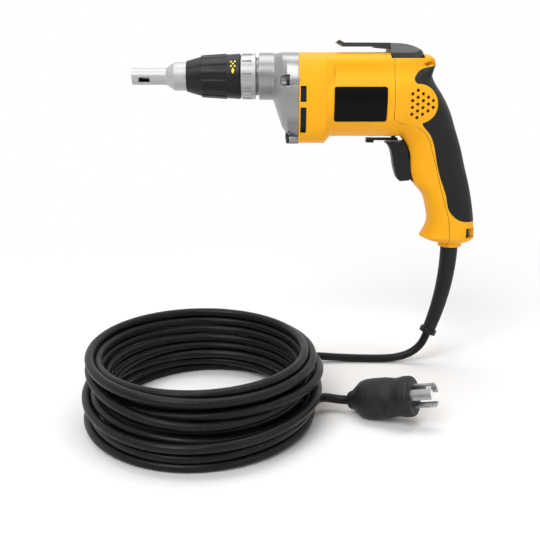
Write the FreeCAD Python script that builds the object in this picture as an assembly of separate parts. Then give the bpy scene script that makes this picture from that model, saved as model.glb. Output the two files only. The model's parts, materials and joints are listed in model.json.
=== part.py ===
import FreeCAD, Part
import math
import os

# Corded drywall screwdriver with a pistol grip, its coiled cord and a twist-lock plug.
# Working frame, in millimetres: X = 0 is the joint between gear case and motor housing,
# Z = 0 is the spindle axis, Y = 0 is the mid-plane, and the nose points to -X.
# Every piece is moved at the end so that the origin lies in the middle of the hand grip.

V = FreeCAD.Vector
ALONG_X = V(1, 0, 0)
ALONG_Y = V(0, 1, 0)
ALONG_Z = V(0, 0, 1)
FULL_TURN = 360.0
SIDES = (1, -1)

# Clearances
run_fit = 0.05          # radial clearance of turning and sliding fits
seat_gap = 0.15         # gap between seated pieces
body_gap = 0.3          # gap between faces that move past each other
overrun = 6.0           # how far cutters pass a face
far = 400.0             # size of zone cutters

# Frame
grip_centre_x = 126.0
grip_centre_drop = 96.0
motor_drop = 15.0       # motor axis below the spindle axis
floor_drop = 259.8      # floor below the spindle axis

# Nose, lengths along the spindle
case_length = 33.0
groove_length = 2.7
ring_length = 12.4
collar_length = 45.8
locator_band = 10.3
locator_cone = 7.2
locator_tube = 29.0
snout_length = 21.0
snout_radius = 11.5
snout_bore = 8.5
groove_radius = 15.7
ring_radius = 19.0
ring_root_radius = 17.9
ring_flange = 3.4
ring_rib_count = 10
ring_rib_width = 5.4
ring_rib_end = 0.9
ball_radius = 1.5
ball_proud = 0.8
ball_pitch_radius = 15.5
ball_track_depth = 1.5
ball_track_width = 3.0
detent_spring_length = 4.6
detent_wire = 0.4
detent_spring_turns = 5
retaining_ring_width = 2.0
retaining_ring_depth = 1.2
retaining_ring_inset = 5.0

# Depth collar
collar_front_radius = 12.85
collar_shoulder_radius = 16.8
collar_rear_radius = 18.8
collar_shoulder = 13.9
collar_rib_count = 14
collar_rib_radius = 2.3
collar_rib_rise = 0.7
collar_rib_end = 20.0
collar_lip = 1.0

# Nose locator and the sleeve that carries it
locator_radius = 11.85
locator_tube_radius = 7.0
locator_bore = 5.6
locator_tail = 22.0
locator_travel = 3.0
mouth_bore = 5.85
mouth_depth = 4.0
window_length = 9.7
window_height = 3.9
window_offset = 5.6
window_drop = 2.55
sleeve_radius = 13.2
sleeve_stem_radius = 8.4
sleeve_stem_bore = 6.2
sleeve_cup = 20.0
sleeve_floor = 2.0
sleeve_stem = 27.0

# Spindle, bit and clutch
spindle_radius = 5.0
spindle_head_radius = 6.8
spindle_head_length = 8.6
spindle_head_reach = 3.5
bushing_inset = 1.0
bushing_length = 17.0
bit_shank_radius = 3.2
bit_shank_depth = 11.0
bit_holder_radius = 4.8
bit_holder_length = 51.0
bit_socket_depth = 12.0
magnet_length = 2.0
bit_tip_reach = 18.0
bit_neck_radius = 2.2
bit_point_radius = 0.5
bit_cone_length = 5.0
clutch_radius = 10.5
clutch_thickness = 5.0
dog_height = 3.0
dog_inner_radius = 6.7
dog_outer_radius = 9.6
dog_count = 2
dog_angle = 30.0
clutch_travel = 3.0
clutch_wire = 0.8
clutch_spring_radius = 5.85
clutch_spring_turns = 4
spring_seat_thickness = 0.8
gear_width = 7.0
gear_rear_inset = 5.0
gear_bore_depth = 5.5
gear_journal_radius = 4.0
gear_journal_length = 4.0
washer_radius = 9.0
spindle_overlap = 2.2
gear_teeth = 33
pinion_teeth = 7
pressure_angle = 25.0
addendum_share = 0.8
dedendum_share = 1.1
tooth_shift_share = 0.2
backlash_share = 0.16
flank_steps = 4

# Gear case
case_wall = 2.6
case_neck_radius = 19.5
case_neck_length = 12.5
case_neck_bore = 16.2
case_front_wall = 3.0
case_top = 19.8
case_bottom = 50.0
case_half_width = 33.4
case_neck_points = 22
case_bell_sink = 0.8    # how far the flared part starts inside the neck

# Gear case stations behind its neck: forward, drop and width shares of the case
case_station_shares = (
    (0.41, 0.84, 0.87),
    (0.29, 0.94, 0.955),
    (0.0, 1.0, 1.0),
)

# Case screws: two beside the spindle and two at the bottom
screw_radius = 2.0
screw_head_radius = 3.6
screw_head_height = 2.6
screw_length = 21.0
screw_boss_length = 7.6
side_screw_y = 28.4
side_screw_drop = 2.5
side_boss_radius = 4.4
low_screw_y = 15.0
low_screw_drop = 51.4
low_boss_radius = 3.9
tower_length = 17.0
tower_radius = 4.6
screw_scoop = 15.3

# Motor housing and handle
body_length = 116.0
body_top = 19.8
body_height = 69.7
body_half_width = 33.5
body_wall = 2.6
shroud_length = 21.9
shroud_fade = 7.0
shroud_drop = 55.1
shroud_half_width = 34.2
handle_height = 153.5
handle_top = 10.0
handle_depth = 157.6
handle_half_width = 31.5
handle_wall = 4.0
foot_collar_radius = 10.4
foot_collar_x = 137.2
foot_collar_drop = 147.2
foot_collar_height = 5.0
parting_gap = 0.3
grip_thickness = 1.8
vent_centre_x = 98.6
vent_centre_drop = 21.3
vent_field_radius = 16.1
vent_hole_radius = 1.35
vent_hole_x = 97.5
vent_pitch = 5.5
vent_column_pitch = 4.35
vent_columns = ((-1, 4), (0, 5), (1, 4), (2, 3), (3, 2))   # column and its number of holes
exhaust_x = 1.2
exhaust_length = 4.9
exhaust_upper = (6.6, 19.4)
exhaust_lower = (23.8, 44.8)
plate_front = 28.9
plate_length = 43.4
plate_top_drop = 7.2
plate_height = 28.4
plate_corner = 2.0
plate_thickness = 0.5
notch_x = 147.4
notch_top_drop = 128.9
notch_height = 8.5
notch_y = 6.4
cover_screw_y = 13.0
cover_screw_z = 9.0
cover_screw_head_x = 101.0
foot_screw_y = 12.8
foot_screw_drop = 133.2
cover_screw_grip = 34.0
foot_screw_grip = 28.0
foot_tower_radius = 3.7

# Belt hook
hook_front = 31.8
hook_arm_top = 27.8
hook_arm_thickness = 3.3
hook_arm_half_width = 11.0
hook_block_front = 76.2
hook_block_length = 28.1
hook_block_top = 27.6
hook_block_bottom = 15.4
hook_block_half_width = 19.0
hook_corner = 11.0
hook_skirt = 3.4
hook_tip_rise = 2.1
hook_tip_run = 5.8
hook_heel = 11.5
hook_heel_drop = 2.0
hook_screw_x = 90.0
hook_screw_radius = 2.2
hook_screw_head = 4.2
hook_screw_length = 17.0
hook_base = 3.0
hook_crown_radius = 26.0
hook_head_rise = 6.0

# Motor
bearing_radius = 11.0
bearing_width = 7.0
bearing_start = 0.9
bearing_race = 2.2
bearing_recess = 0.6
bearing_boss_wall = 3.0
plate_depth = 3.0
plate_margin = 0.7
shaft_radius = 4.0
rear_shaft_radius = 3.0
fan_start = 10.0
fan_width = 9.0
fan_radius = 24.0
fan_hub_radius = 8.0
fan_back = 1.6
fan_blades = 11
fan_blade_thickness = 1.4
baffle_start = 19.8
baffle_thickness = 1.8
baffle_bore = 17.0
core_start = 30.0
core_length = 28.0
core_radius = 17.5
core_slots = 12
core_slot_angle = 9.0
core_slot_depth = 7.0
air_gap = 0.7
field_radius = 27.4
field_slot_radius = 24.2
field_slot_angle = 80.0
coil_inner_radius = 18.9
coil_outer_radius = 23.9
coil_overhang = 5.4
coil_angle = 130.0
coil_window_angle = 104.0
winding_length = 4.6
winding_outer_radius = 15.6
winding_inner_radius = 6.0
commutator_start = 65.0
commutator_length = 9.5
commutator_radius = 10.0
brush_x = 66.4
brush_width = 6.4
brush_height = 7.6
brush_length = 11.0
brush_holder_wall = 1.0
brush_holder_length = 17.6
brush_gap = 0.3
brush_wire = 0.6
brush_spring_turns = 4
rear_bearing_start = 75.2
rear_bearing_width = 5.0
rear_bearing_radius = 9.0
rib_width = 3.0
field_rib_starts = (34.0, 51.0)
web_window_radius = 6.0
web_window_pitch = 19.0
web_drop = 28.0         # how far the web reaches below the motor axis

# Switch, trigger and reversing lever
trigger_half_width = 8.3
trigger_top_drop = 54.1
trigger_height = 34.2
trigger_front = 75.2
trigger_depth = 25.2
trigger_edge = 3.0
trigger_slot_front = 84.0
trigger_slot_rear = 109.0
trigger_stem_radius = 3.0
trigger_stem_drop = 66.0
trigger_stem_length = 20.0
trigger_stem_share = 0.75
trigger_face_count = 7
trigger_spring_front = 97.0
trigger_wire = 0.8
trigger_spring_radius = 4.4
trigger_spring_turns = 5
switch_front = 111.0
switch_length = 17.0
switch_half_width = 10.0
switch_top_drop = 58.0
switch_height = 31.0
switch_rib_front = 113.0
switch_rib_length = 5.0
switch_rib_height = 22.0
lever_front = 59.3
lever_pivot_x = 83.0
lever_tail = 4.0
lever_half_width = 2.6
lever_top_drop = 51.5
lever_thickness = 2.1
lever_knob_length = 6.4
lever_knob_height = 3.9
lever_pin_radius = 2.0
lever_pin_height = 5.6
lever_flange_radius = 3.2
lever_flange_height = 1.0

# Cord, strain relief and clamp
cord_diameter = 7.2
relief_top_x = 136.9
relief_top_drop = 146.4
relief_end_x = 121.3
relief_end_drop = 229.7
relief_top_radius = 7.8
relief_mid_radius = 7.1
relief_mid_share = 0.39
relief_low_radius = 5.75
relief_flange_radius = 7.6
relief_flange_length = 4.0
relief_shoulder_radius = 8.8
relief_shoulder_height = 3.0
relief_rise = 11.6
clamp_drop = 126.0
clamp_height = 6.0
clamp_half_width = 12.0
clamp_rear = 7.0
clamp_screw_y = 8.4
clamp_screw_radius = 1.5
clamp_screw_head = 2.8
clamp_screw_head_height = 1.8
clamp_screw_length = 18.0
clamp_seat_depth = 9.0
cord_inner_length = 12.0

# Coil: two layers of eight rows, wound in one unbroken length
coil_centre_x = -75.5
coil_centre_y = -110.0
coil_radius = 89.0
coil_depth_share = 1.105    # how much deeper the coil is than wide
coil_sway = 3.0             # how far each turn lies off the middle
coil_sway_start = 150.0
coil_sway_angle = 63.0      # turn of that shift from row to row
coil_layer_step = 12.0
coil_row_step = 7.7
coil_rows = 8
coil_lead_row = 2
coil_start_angle = 90.0
coil_end_angle = 349.9
gap_step = 3.0

# The lead's points from the strain relief to the coil: X, Y and height over the floor
lead_first_run = 13.0
lead_points = (
    (106.2, 0.2, 8.7),
    (90.8, 0.6, 4.2),
    (69.0, 1.4, 3.6),
    (44.0, 1.8, 4.2),
    (18.0, 0.4, 6.6),
    (-8.0, -3.8, 9.2),
    (-31.0, -8.6, 10.9),
)
lead_last_run = 18.8

# The tail's runs where it leaves the coil and where it enters the plug
tail_first_run = 9.8
tail_last_run = 9.8

# Plug
plug_entry_x = 40.3
plug_entry_y = -108.3
plug_entry_height = 10.6
plug_heading = -27.0
plug_pitch = 15.0
plug_length = 54.0
plug_radius = 16.2
plug_face_radius = 12.6
plug_face_depth = 3.0
blade_ring_radius = 8.6
blade_thickness = 1.5
blade_length = 16.5
blade_root = 2.0
blade_angle = 52.0
blade_count = 3
blade_hook_angle = 16.0
blade_hook_length = 4.0
blade_roll = 54.0
plug_dimple_radius = 10.5
plug_dimple_depth = 2.3
plug_dimple_share = 0.6
plug_dimple_count = 2
plug_dimple_start = 90.0

# Half outline of the barrel, from the top of its spine to its bottom: width and height shares
barrel_outline_shares = (
    (0.0, 1.0),
    (0.33, 0.994),
    (0.57, 0.960),
    (0.69, 0.887),
    (0.70, 0.815),
    (0.76, 0.743),
    (0.91, 0.642),
    (0.994, 0.512),
    (0.985, 0.368),
    (0.88, 0.224),
    (0.657, 0.101),
    (0.358, 0.022),
    (0.0, 0.0),
)

# Half outline of the full front end, from top to bottom
front_outline_shares = (
    (0.0, 1.0),
    (0.41, 0.992),
    (0.67, 0.943),
    (0.83, 0.842),
    (0.92, 0.722),
    (0.98, 0.575),
    (0.995, 0.415),
    (0.95, 0.255),
    (0.82, 0.121),
    (0.58, 0.028),
    (0.26, 0.0),
    (0.0, 0.0),
)

# Barrel stations behind its straight run: length, top, bottom and width shares
barrel_tail_shares = (
    (0.71, 1.0, 0.0, 1.0),
    (0.795, 1.0, 0.045, 0.925),
    (0.871, 0.993, 0.28, 0.79),
    (0.931, 0.976, 0.515, 0.64),
    (0.970, 0.950, 0.745, 0.48),
    (0.991, 0.914, 0.822, 0.27),
)
barrel_shoulder_count = 3   # stations of its shoulder; the rest form the knob

# Handle stations from its top down: drop, front, rear and width shares
handle_station_shares = (
    (0.0, 0.558, 0.720, 0.50),
    (0.04, 0.533, 0.718, 0.68),
    (0.085, 0.482, 0.726, 0.86),
    (0.143, 0.450, 0.763, 0.968),
    (0.208, 0.444, 0.802, 1.0),
    (0.274, 0.457, 0.832, 0.952),
    (0.339, 0.508, 0.855, 0.825),
    (0.397, 0.565, 0.876, 0.70),
    (0.469, 0.602, 0.900, 0.622),
    (0.554, 0.611, 0.923, 0.59),
    (0.638, 0.631, 0.947, 0.578),
    (0.717, 0.695, 0.966, 0.565),
    (0.801, 0.723, 0.982, 0.559),
    (0.879, 0.732, 0.993, 0.565),
    (0.932, 0.713, 0.998, 0.581),
    (0.964, 0.697, 1.0, 0.59),
    (0.984, 0.739, 0.985, 0.492),
    (1.0, 0.793, 0.949, 0.349),
)
handle_bulge = 2.5      # exponent of the handle's rounded sections
handle_points = 16
handle_main_count = 16  # stations of the handle; the rest round off its foot

# Lower parting line between housing and cover: depth and height shares of the handle
parting_shares = (
    (0.4985, 0.25),
    (0.4985, 0.268),
    (0.5034, 0.285),
    (0.5188, 0.299),
    (0.5482, 0.311),
    (0.5960, 0.321),
    (0.6301, 0.331),
    (0.6558, 0.347),
    (0.6827, 0.3745),
    (0.7038, 0.410),
    (0.7183, 0.456),
    (0.7363, 0.512),
    (0.7771, 0.660),
    (0.8095, 0.767),
    (0.8249, 0.818),
    (0.8352, 0.861),
    (0.8407, 0.911),
    (0.8440, 1.05),
)

# Edge of the rubber grip above and below the vent field: depth and height shares
grip_upper_shares = (
    (0.800, 0.004),
    (0.7066, 0.0072),
    (0.6848, 0.0118),
    (0.6575, 0.0186),
    (0.6285, 0.0328),
    (0.6099, 0.0559),
    (0.6018, 0.0722),
    (0.6075, 0.0901),
    (0.6373, 0.0984),
)
grip_lower_shares = (
    (0.6533, 0.317),
    (0.6708, 0.338),
    (0.6990, 0.370),
    (0.7212, 0.414),
    (0.7337, 0.456),
    (0.7503, 0.531),
    (0.7821, 0.637),
    (0.8133, 0.726),
    (0.8298, 0.794),
    (0.8449, 0.818),
    (0.8711, 0.844),
    (0.8982, 0.859),
    (0.9296, 0.866),
    (0.9648, 0.868),
    (1.06, 0.872),
)

# Trigger outline: depth shares from its front, height shares from its top
trigger_outline_shares = (
    (0.0, 0.025),
    (0.12, 0.10),
    (0.218, 0.231),
    (0.258, 0.362),
    (0.317, 0.617),
    (0.40, 0.839),
    (0.468, 0.95),
    (0.548, 1.0),
    (0.849, 0.985),
    (0.948, 0.927),
    (1.0, 0.839),
    (0.841, 0.471),
    (0.75, 0.14),
    (0.70, 0.0),
)

# Plug body profile: length and radius shares
plug_profile_shares = (
    (0.0, 0.40),
    (0.035, 0.46),
    (0.085, 0.48),
    (0.095, 0.56),
    (0.147, 0.70),
    (0.216, 0.89),
    (0.30, 0.965),
    (0.40, 0.99),
    (0.60, 0.985),
    (0.68, 0.945),
    (0.745, 0.92),
    (0.80, 0.935),
    (0.86, 0.975),
    (0.95, 0.975),
    (0.985, 0.94),
    (1.0, 0.88),
)

# Belt hook block top: length and height shares
hook_back_shares = (
    (0.09, 1.0),
    (0.22, 0.995),
    (0.35, 0.965),
    (0.48, 0.92),
    (0.60, 0.85),
    (0.71, 0.755),
    (0.80, 0.65),
    (0.88, 0.53),
    (0.94, 0.41),
    (0.98, 0.29),
    (1.0, 0.18),
    (0.985, 0.09),
    (0.94, 0.03),
    (0.86, 0.0),
)

# Places along X that follow from the lengths above
case_front = -case_length
ring_rear = case_front - groove_length
ring_front = ring_rear - ring_length
collar_rear = ring_front - body_gap
collar_front = collar_rear - collar_length
band_front = collar_front - locator_band
cone_front = band_front - locator_cone
nose_tip = cone_front - locator_tube
snout_front = case_front - snout_length
sleeve_shelf = collar_rear - sleeve_cup
sleeve_front = sleeve_shelf - sleeve_stem
locator_rear = collar_front + locator_tail
gear_rear = -gear_rear_inset
gear_front = gear_rear - gear_width
clutch_rear = gear_front - dog_height - body_gap - clutch_travel - dog_height
clutch_front = clutch_rear - clutch_thickness
spindle_rear = gear_front + spindle_overlap
head_rear = snout_front - spindle_head_reach
head_front = head_rear - spindle_head_length
holder_front = head_front - bit_holder_length
module = 2 * motor_drop / (gear_teeth + pinion_teeth)
core_rear = core_start + core_length
parting_x = parting_shares[0][0] * handle_depth
cord_radius = cord_diameter / 2
gear_case_seat = -screw_boss_length


def rod(x0, x1, radius, y=0.0, z=0.0):
    """Cylinder along X."""
    return Part.makeCylinder(radius, x1 - x0, V(x0, y, z), ALONG_X)


def ring(x0, x1, outer, inner, z=0.0):
    """Plain ring along X."""
    return rod(x0, x1, outer, z=z).cut(rod(x0 - overrun, x1 + overrun, inner, z=z))


def block(x0, x1, y0, y1, z0, z1):
    return Part.makeBox(x1 - x0, y1 - y0, z1 - z0, V(x0, y0, z0))


def post(x, y, z0, z1, radius):
    """Cylinder along Z."""
    return Part.makeCylinder(radius, z1 - z0, V(x, y, z0), ALONG_Z)


def polygon_face(points):
    return Part.Face(Part.makePolygon(points + [points[0]]))


def turned(profile, z=0.0):
    """Solid of revolution about X from points of length and radius."""
    face = polygon_face([V(x, 0, z + r) for x, r in profile])
    return face.revolve(V(0, 0, z), ALONG_X, FULL_TURN)


def slab_xz(points, half_width):
    """Outline in X and Z, carried across the mid-plane."""
    face = polygon_face([V(x, -half_width, z) for x, z in points])
    return face.extrude(V(0, 2 * half_width, 0))


def joined(shapes):
    return shapes[0].multiFuse(shapes[1:]).removeSplitter()


def sector(x0, x1, outer, inner, middle, angle, z=0.0):
    """Part of a ring along X, centred on an angle measured from +Z towards +Y."""
    low = math.radians(middle - angle / 2)
    high = math.radians(middle + angle / 2)
    mid = math.radians(middle)

    def spot(radius, turn):
        return V(x0, radius * math.sin(turn), z + radius * math.cos(turn))

    edges = [
        Part.Arc(spot(outer, low), spot(outer, mid), spot(outer, high)).toShape(),
        Part.makeLine(spot(outer, high), spot(inner, high)),
        Part.Arc(spot(inner, high), spot(inner, mid), spot(inner, low)).toShape(),
        Part.makeLine(spot(inner, low), spot(outer, low)),
    ]
    return Part.Face(Part.Wire(edges)).extrude(V(x1 - x0, 0, 0))


def smooth_loop(points):
    """Closed curve through points."""
    curve = Part.BSplineCurve()
    curve.interpolate(points, True)
    return Part.Wire(curve.toShape())


def smooth_line(points):
    curve = Part.BSplineCurve()
    curve.interpolate(points)
    return curve.toShape()


def whole_outline(shares, half_width, top, bottom):
    """Both halves of an outline in Y and Z, clockwise from its top."""
    height = top - bottom
    right = [(y * half_width, bottom + s * height) for y, s in shares]
    left = [(-y, z) for y, z in reversed(right[1:-1])]
    return right + left


def moved_in(outline, depth):
    """The outline moved inwards by a depth."""
    result = []
    count = len(outline)
    for i, (y, z) in enumerate(outline):
        before = outline[i - 1]
        after = outline[(i + 1) % count]
        run = after[0] - before[0]
        rise = after[1] - before[1]
        length = math.hypot(run, rise)
        result.append((y + depth * rise / length, z - depth * run / length))
    return result


def section(x, shares, half_width, top, bottom, depth):
    outline = moved_in(whole_outline(shares, half_width, top, bottom), depth)
    return smooth_loop([V(x, y, z) for y, z in outline])


def barrel_section(station, depth, x):
    along, top, bottom, width = station
    base = body_top - body_height
    return section(
        x, barrel_outline_shares, width * body_half_width,
        base + top * body_height, base + bottom * body_height, depth)


def barrel(depth, front, closed):
    """Motor barrel and the spine on top of it, moved in by a depth."""
    stations = [(station, station[0] * body_length) for station in barrel_tail_shares]
    first, end = stations[0]
    straight = Part.Face(barrel_section(first, depth, front)).extrude(V(end - front, 0, 0))
    wires = [barrel_section(station, depth, x) for station, x in stations]
    parts = [straight, Part.makeLoft(wires[:barrel_shoulder_count], True)]
    if closed:
        parts.append(Part.makeLoft(wires[barrel_shoulder_count - 1:], True))
    return joined(parts)


def shroud(depth, front):
    """Full front end of the housing, fading into the barrel."""
    fade = shroud_length + shroud_fade
    inside = body_top - body_height + body_wall
    sizes = (
        (front, shroud_half_width, body_top, -shroud_drop),
        (shroud_length, shroud_half_width, body_top, -shroud_drop),
        (fade, body_half_width - body_wall, body_top - body_wall, inside),
    )
    wires = [
        section(x, front_outline_shares, width, top, bottom, depth)
        for x, width, top, bottom in sizes
    ]
    return Part.makeLoft(wires, True, True)


def handle_section(drop, front, rear, width, depth):
    centre = (front + rear) / 2 * handle_depth
    reach = (rear - front) / 2 * handle_depth - depth
    half = width * handle_half_width - depth
    z = handle_top - drop * handle_height
    points = []
    for i in range(handle_points):
        turn = 2 * math.pi * i / handle_points
        c = math.cos(turn)
        s = math.sin(turn)
        px = math.copysign(abs(c) ** (2 / handle_bulge), c)
        py = math.copysign(abs(s) ** (2 / handle_bulge), s)
        points.append(V(centre + reach * px, half * py, z))
    return smooth_loop(points)


def handle(depth, foot):
    """Pistol grip, moved in by a depth, with or without its rounded foot."""
    wires = [handle_section(*station, depth) for station in handle_station_shares]
    main_part = Part.makeLoft(wires[:handle_main_count], True)
    if not foot:
        return main_part
    return joined([main_part, Part.makeLoft(wires[handle_main_count - 1:], True)])


def handle_spot(depth_share, drop_share):
    """Point of the mid-plane from shares of the handle's depth and height."""
    return V(depth_share * handle_depth, -far, handle_top - drop_share * handle_height)


def rear_zone(shift):
    """Everything behind the parting line between housing and cover."""
    step = V(shift, 0, 0)
    line = [handle_spot(d, s) + step for d, s in parting_shares]
    corners = [
        line[-1], V(line[-1].x, -far, -far), V(far, -far, -far), V(far, -far, far),
        V(line[0].x, -far, far), line[0],
    ]
    edges = [smooth_line(line)]
    for start, end in zip(corners, corners[1:]):
        edges.append(Part.makeLine(start, end))
    return Part.Face(Part.Wire(edges)).extrude(V(0, 2 * far, 0))


def vent_field():
    centre = V(vent_centre_x, -far, -vent_centre_drop)
    return Part.makeCylinder(vent_field_radius, 2 * far, centre, ALONG_Y)


def grip_zone():
    """Everything behind the edge of the rubber grip, outside the vent field."""
    upper = [handle_spot(d, s) for d, s in grip_upper_shares]
    lower = [handle_spot(d, s) for d, s in grip_lower_shares]
    corners = [lower[-1], V(far, -far, lower[-1].z), V(far, -far, upper[0].z), upper[0]]
    edges = [smooth_line(upper), Part.makeLine(upper[-1], lower[0]), smooth_line(lower)]
    for start, end in zip(corners, corners[1:]):
        edges.append(Part.makeLine(start, end))
    zone = Part.Face(Part.Wire(edges)).extrude(V(0, 2 * far, 0))
    return zone.cut(vent_field())


def foot_collar():
    low = -foot_collar_drop
    return post(foot_collar_x, 0, low, low + foot_collar_height, foot_collar_radius)


def outer_body():
    """Outside of housing and cover as one solid."""
    return joined([barrel(0, 0, True), handle(0, True), shroud(0, 0), foot_collar()])


def case_screw_spots():
    spots = [(side * side_screw_y, -side_screw_drop, side_boss_radius) for side in SIDES]
    spots += [(side * low_screw_y, -low_screw_drop, low_boss_radius) for side in SIDES]
    return spots


def cover_screw_spots():
    """Seats of the cover screws under their heads, and their lengths."""
    spots = [(cover_screw_head_x, side * cover_screw_y, cover_screw_z, cover_screw_grip) for side in SIDES]
    spots += [(notch_x, side * foot_screw_y, -foot_screw_drop, foot_screw_grip) for side in SIDES]
    return spots


def bearing_web():
    """Wall in the housing that holds the rear bearing, with air windows."""
    wide = body_half_width + overrun
    front = rear_bearing_start - seat_gap
    end = parting_x - parting_gap
    web = block(front, end, -wide, wide, -motor_drop - web_drop, far)
    web = web.cut(rod(front - overrun, end + overrun, rear_bearing_radius + run_fit, z=-motor_drop))
    reach = web_window_pitch / math.sqrt(2)
    for side in SIDES:
        for up in SIDES:
            middle = -motor_drop + up * reach
            window = rod(front - overrun, end + overrun, web_window_radius, side * reach, middle)
            web = web.cut(window)
    return web


def housing_ribs():
    """What stands inside the shells: ribs, web, towers and seats."""
    wide = body_half_width + overrun
    parts = [bearing_web()]
    for start in field_rib_starts:
        rib = block(start, start + rib_width, -wide, wide, -far, far)
        bore = rod(start - overrun, start + rib_width + overrun, field_radius + seat_gap, z=-motor_drop)
        parts.append(rib.cut(bore))
    for y, z, radius in case_screw_spots():
        parts.append(rod(-overrun, tower_length, tower_radius, y, z))
    for x, y, z, grip in cover_screw_spots():
        radius = tower_radius if z > 0 else foot_tower_radius
        parts.append(rod(x - grip, far, radius, y, z))
    for side in SIDES:
        near = side * (switch_half_width + seat_gap)
        edge = side * (handle_half_width + overrun)
        parts.append(block(
            switch_rib_front, switch_rib_front + switch_rib_length, min(near, edge), max(near, edge),
            -switch_top_drop - switch_rib_height, -switch_top_drop))
    base = hook_block_bottom - hook_base
    parts.append(block(hook_block_front - hook_base, body_length, -wide, wide, base, far))
    parts.append(post(hook_screw_x, 0, base - hook_screw_length / 2, base + hook_base, hook_screw_head))
    clamp_face = relief_top_x - cord_radius
    parts.append(block(
        clamp_face - clamp_seat_depth, clamp_face, -wide, wide,
        -clamp_drop - clamp_height / 2, -clamp_drop + clamp_height / 2))
    return parts


def hollow():
    """Space inside housing and cover."""
    barrel_space = barrel(body_wall, -overrun, False)
    space = joined([barrel_space, handle(handle_wall, False), shroud(body_wall, -overrun)])
    for rib in housing_ribs():
        space = space.cut(rib)
    return space


def vent_holes():
    """Round field of holes in the cover, in staggered columns."""
    holes = []
    for column, count in vent_columns:
        x = vent_hole_x + column * vent_column_pitch
        top = -vent_centre_drop + (count - 1) * vent_pitch / 2
        for row in range(count):
            spot = V(x, -far, top - row * vent_pitch)
            holes.append(Part.makeCylinder(vent_hole_radius, 2 * far, spot, ALONG_Y))
    return holes


def exhaust_slots():
    """Openings for the fan's air, through both sides of the housing."""
    middle = bearing_radius + bearing_boss_wall
    slots = []
    for high, low in (exhaust_upper, exhaust_lower):
        for side in SIDES:
            near = side * middle
            edge = side * far
            slots.append(block(
                exhaust_x, exhaust_x + exhaust_length, min(near, edge), max(near, edge), -low, -high))
    return slots


def hook_outline():
    """Side outline of the belt hook, from the tip along the top and back."""
    block_height = hook_block_top - hook_block_bottom
    arm_start = hook_front + hook_tip_run
    arm_low = hook_arm_top - hook_arm_thickness
    heel = hook_block_front - hook_heel
    points = [
        (hook_front, hook_arm_top),
        (hook_front + hook_tip_rise, hook_arm_top + hook_tip_rise),
        (arm_start, hook_arm_top),
        (hook_block_front, hook_block_top),
    ]
    for along, up in hook_back_shares:
        points.append((hook_block_front + along * hook_block_length, hook_block_bottom + up * block_height))
    points += [
        (hook_block_front + hook_tip_rise, hook_block_bottom),
        (hook_block_front, hook_block_bottom + hook_tip_rise),
        (hook_block_front, arm_low - hook_heel_drop),
        (heel, arm_low - hook_heel_drop / 2),
        (heel - hook_tip_rise, arm_low),
        (arm_start, arm_low),
    ]
    return points


def hook_skirts():
    """Lower edges of the hook's block, which follow the barrel's rounded top."""
    front = hook_block_front + hook_tip_rise
    rear = hook_block_front + hook_block_length - hook_corner / 2
    wide = hook_block_half_width
    low = hook_block_bottom - hook_skirt
    skirts = block(front, rear, -wide, wide, low, hook_block_bottom + hook_tip_rise)
    return skirts.cut(barrel(-seat_gap, 0, True))


def hook_plan():
    """Outline of the hook from above, with a rounded back end."""
    rear = hook_block_front + hook_block_length
    start = rear - hook_corner
    side = hook_block_half_width - hook_corner
    parts = [block(-far, start, -far, far, -far, far), block(start, rear, -side, side, -far, far)]
    parts += [post(start, way * side, -far, far, hook_corner) for way in SIDES]
    return joined(parts)


def belt_hook():
    """Arm and saddle block of the belt hook."""
    hook = slab_xz(hook_outline(), hook_block_half_width)
    for side in SIDES:
        near = side * hook_arm_half_width
        edge = side * far
        hook = hook.cut(block(-far, hook_block_front, min(near, edge), max(near, edge), -far, far))
    hook = joined([hook, hook_skirts()])
    crown = rod(-far, far, hook_crown_radius, 0, hook_block_top - hook_crown_radius)
    hook = hook.common(joined([crown, block(-far, hook_block_front, -far, far, -far, far)]))
    hook = hook.common(hook_plan())
    head_low = hook_block_bottom + hook_head_rise
    hook = hook.cut(post(hook_screw_x, 0, head_low, far, hook_screw_head + seat_gap))
    return hook.cut(post(hook_screw_x, 0, -far, far, hook_screw_radius + seat_gap))


def belt_hook_screw():
    head_low = hook_block_bottom + hook_head_rise
    head = post(hook_screw_x, 0, head_low, head_low + screw_head_height, hook_screw_head)
    shank = post(hook_screw_x, 0, head_low - hook_screw_length, head_low, hook_screw_radius)
    return joined([head, shank])


def shared_cuts():
    """Cuts that housing, cover and grip share: belt hook, screws and strain relief."""
    hook_low = hook_block_bottom - seat_gap
    hook_rear = hook_block_front + hook_block_length + seat_gap
    cuts = [block(hook_block_front - seat_gap, hook_rear, -far, far, hook_low, far)]
    screw_low = hook_block_bottom + hook_head_rise - hook_screw_length - run_fit
    cuts.append(post(hook_screw_x, 0, screw_low, hook_block_top, hook_screw_radius + run_fit))
    cuts.append(post(relief_top_x, 0, -far, -relief_top_drop + relief_rise, relief_top_radius + seat_gap))
    for x, y, z, grip in cover_screw_spots():
        cuts.append(rod(x - grip - seat_gap, x, screw_radius + run_fit, y, z))
        cuts.append(rod(x, far, screw_head_radius + body_gap, y, z))
    return cuts


def foot_notches():
    """Open corners at the back of the foot, where the lower cover screws go in."""
    notches = []
    for side in SIDES:
        near = side * notch_y
        edge = side * far
        notches.append(block(
            notch_x, far, min(near, edge), max(near, edge),
            -notch_top_drop - notch_height, -notch_top_drop))
    return notches


def trigger_slot():
    half = trigger_half_width + body_gap
    low = -trigger_top_drop - trigger_height - body_gap
    return block(trigger_slot_front, trigger_slot_rear, -half, half, low, -lever_top_drop + body_gap)


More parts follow.
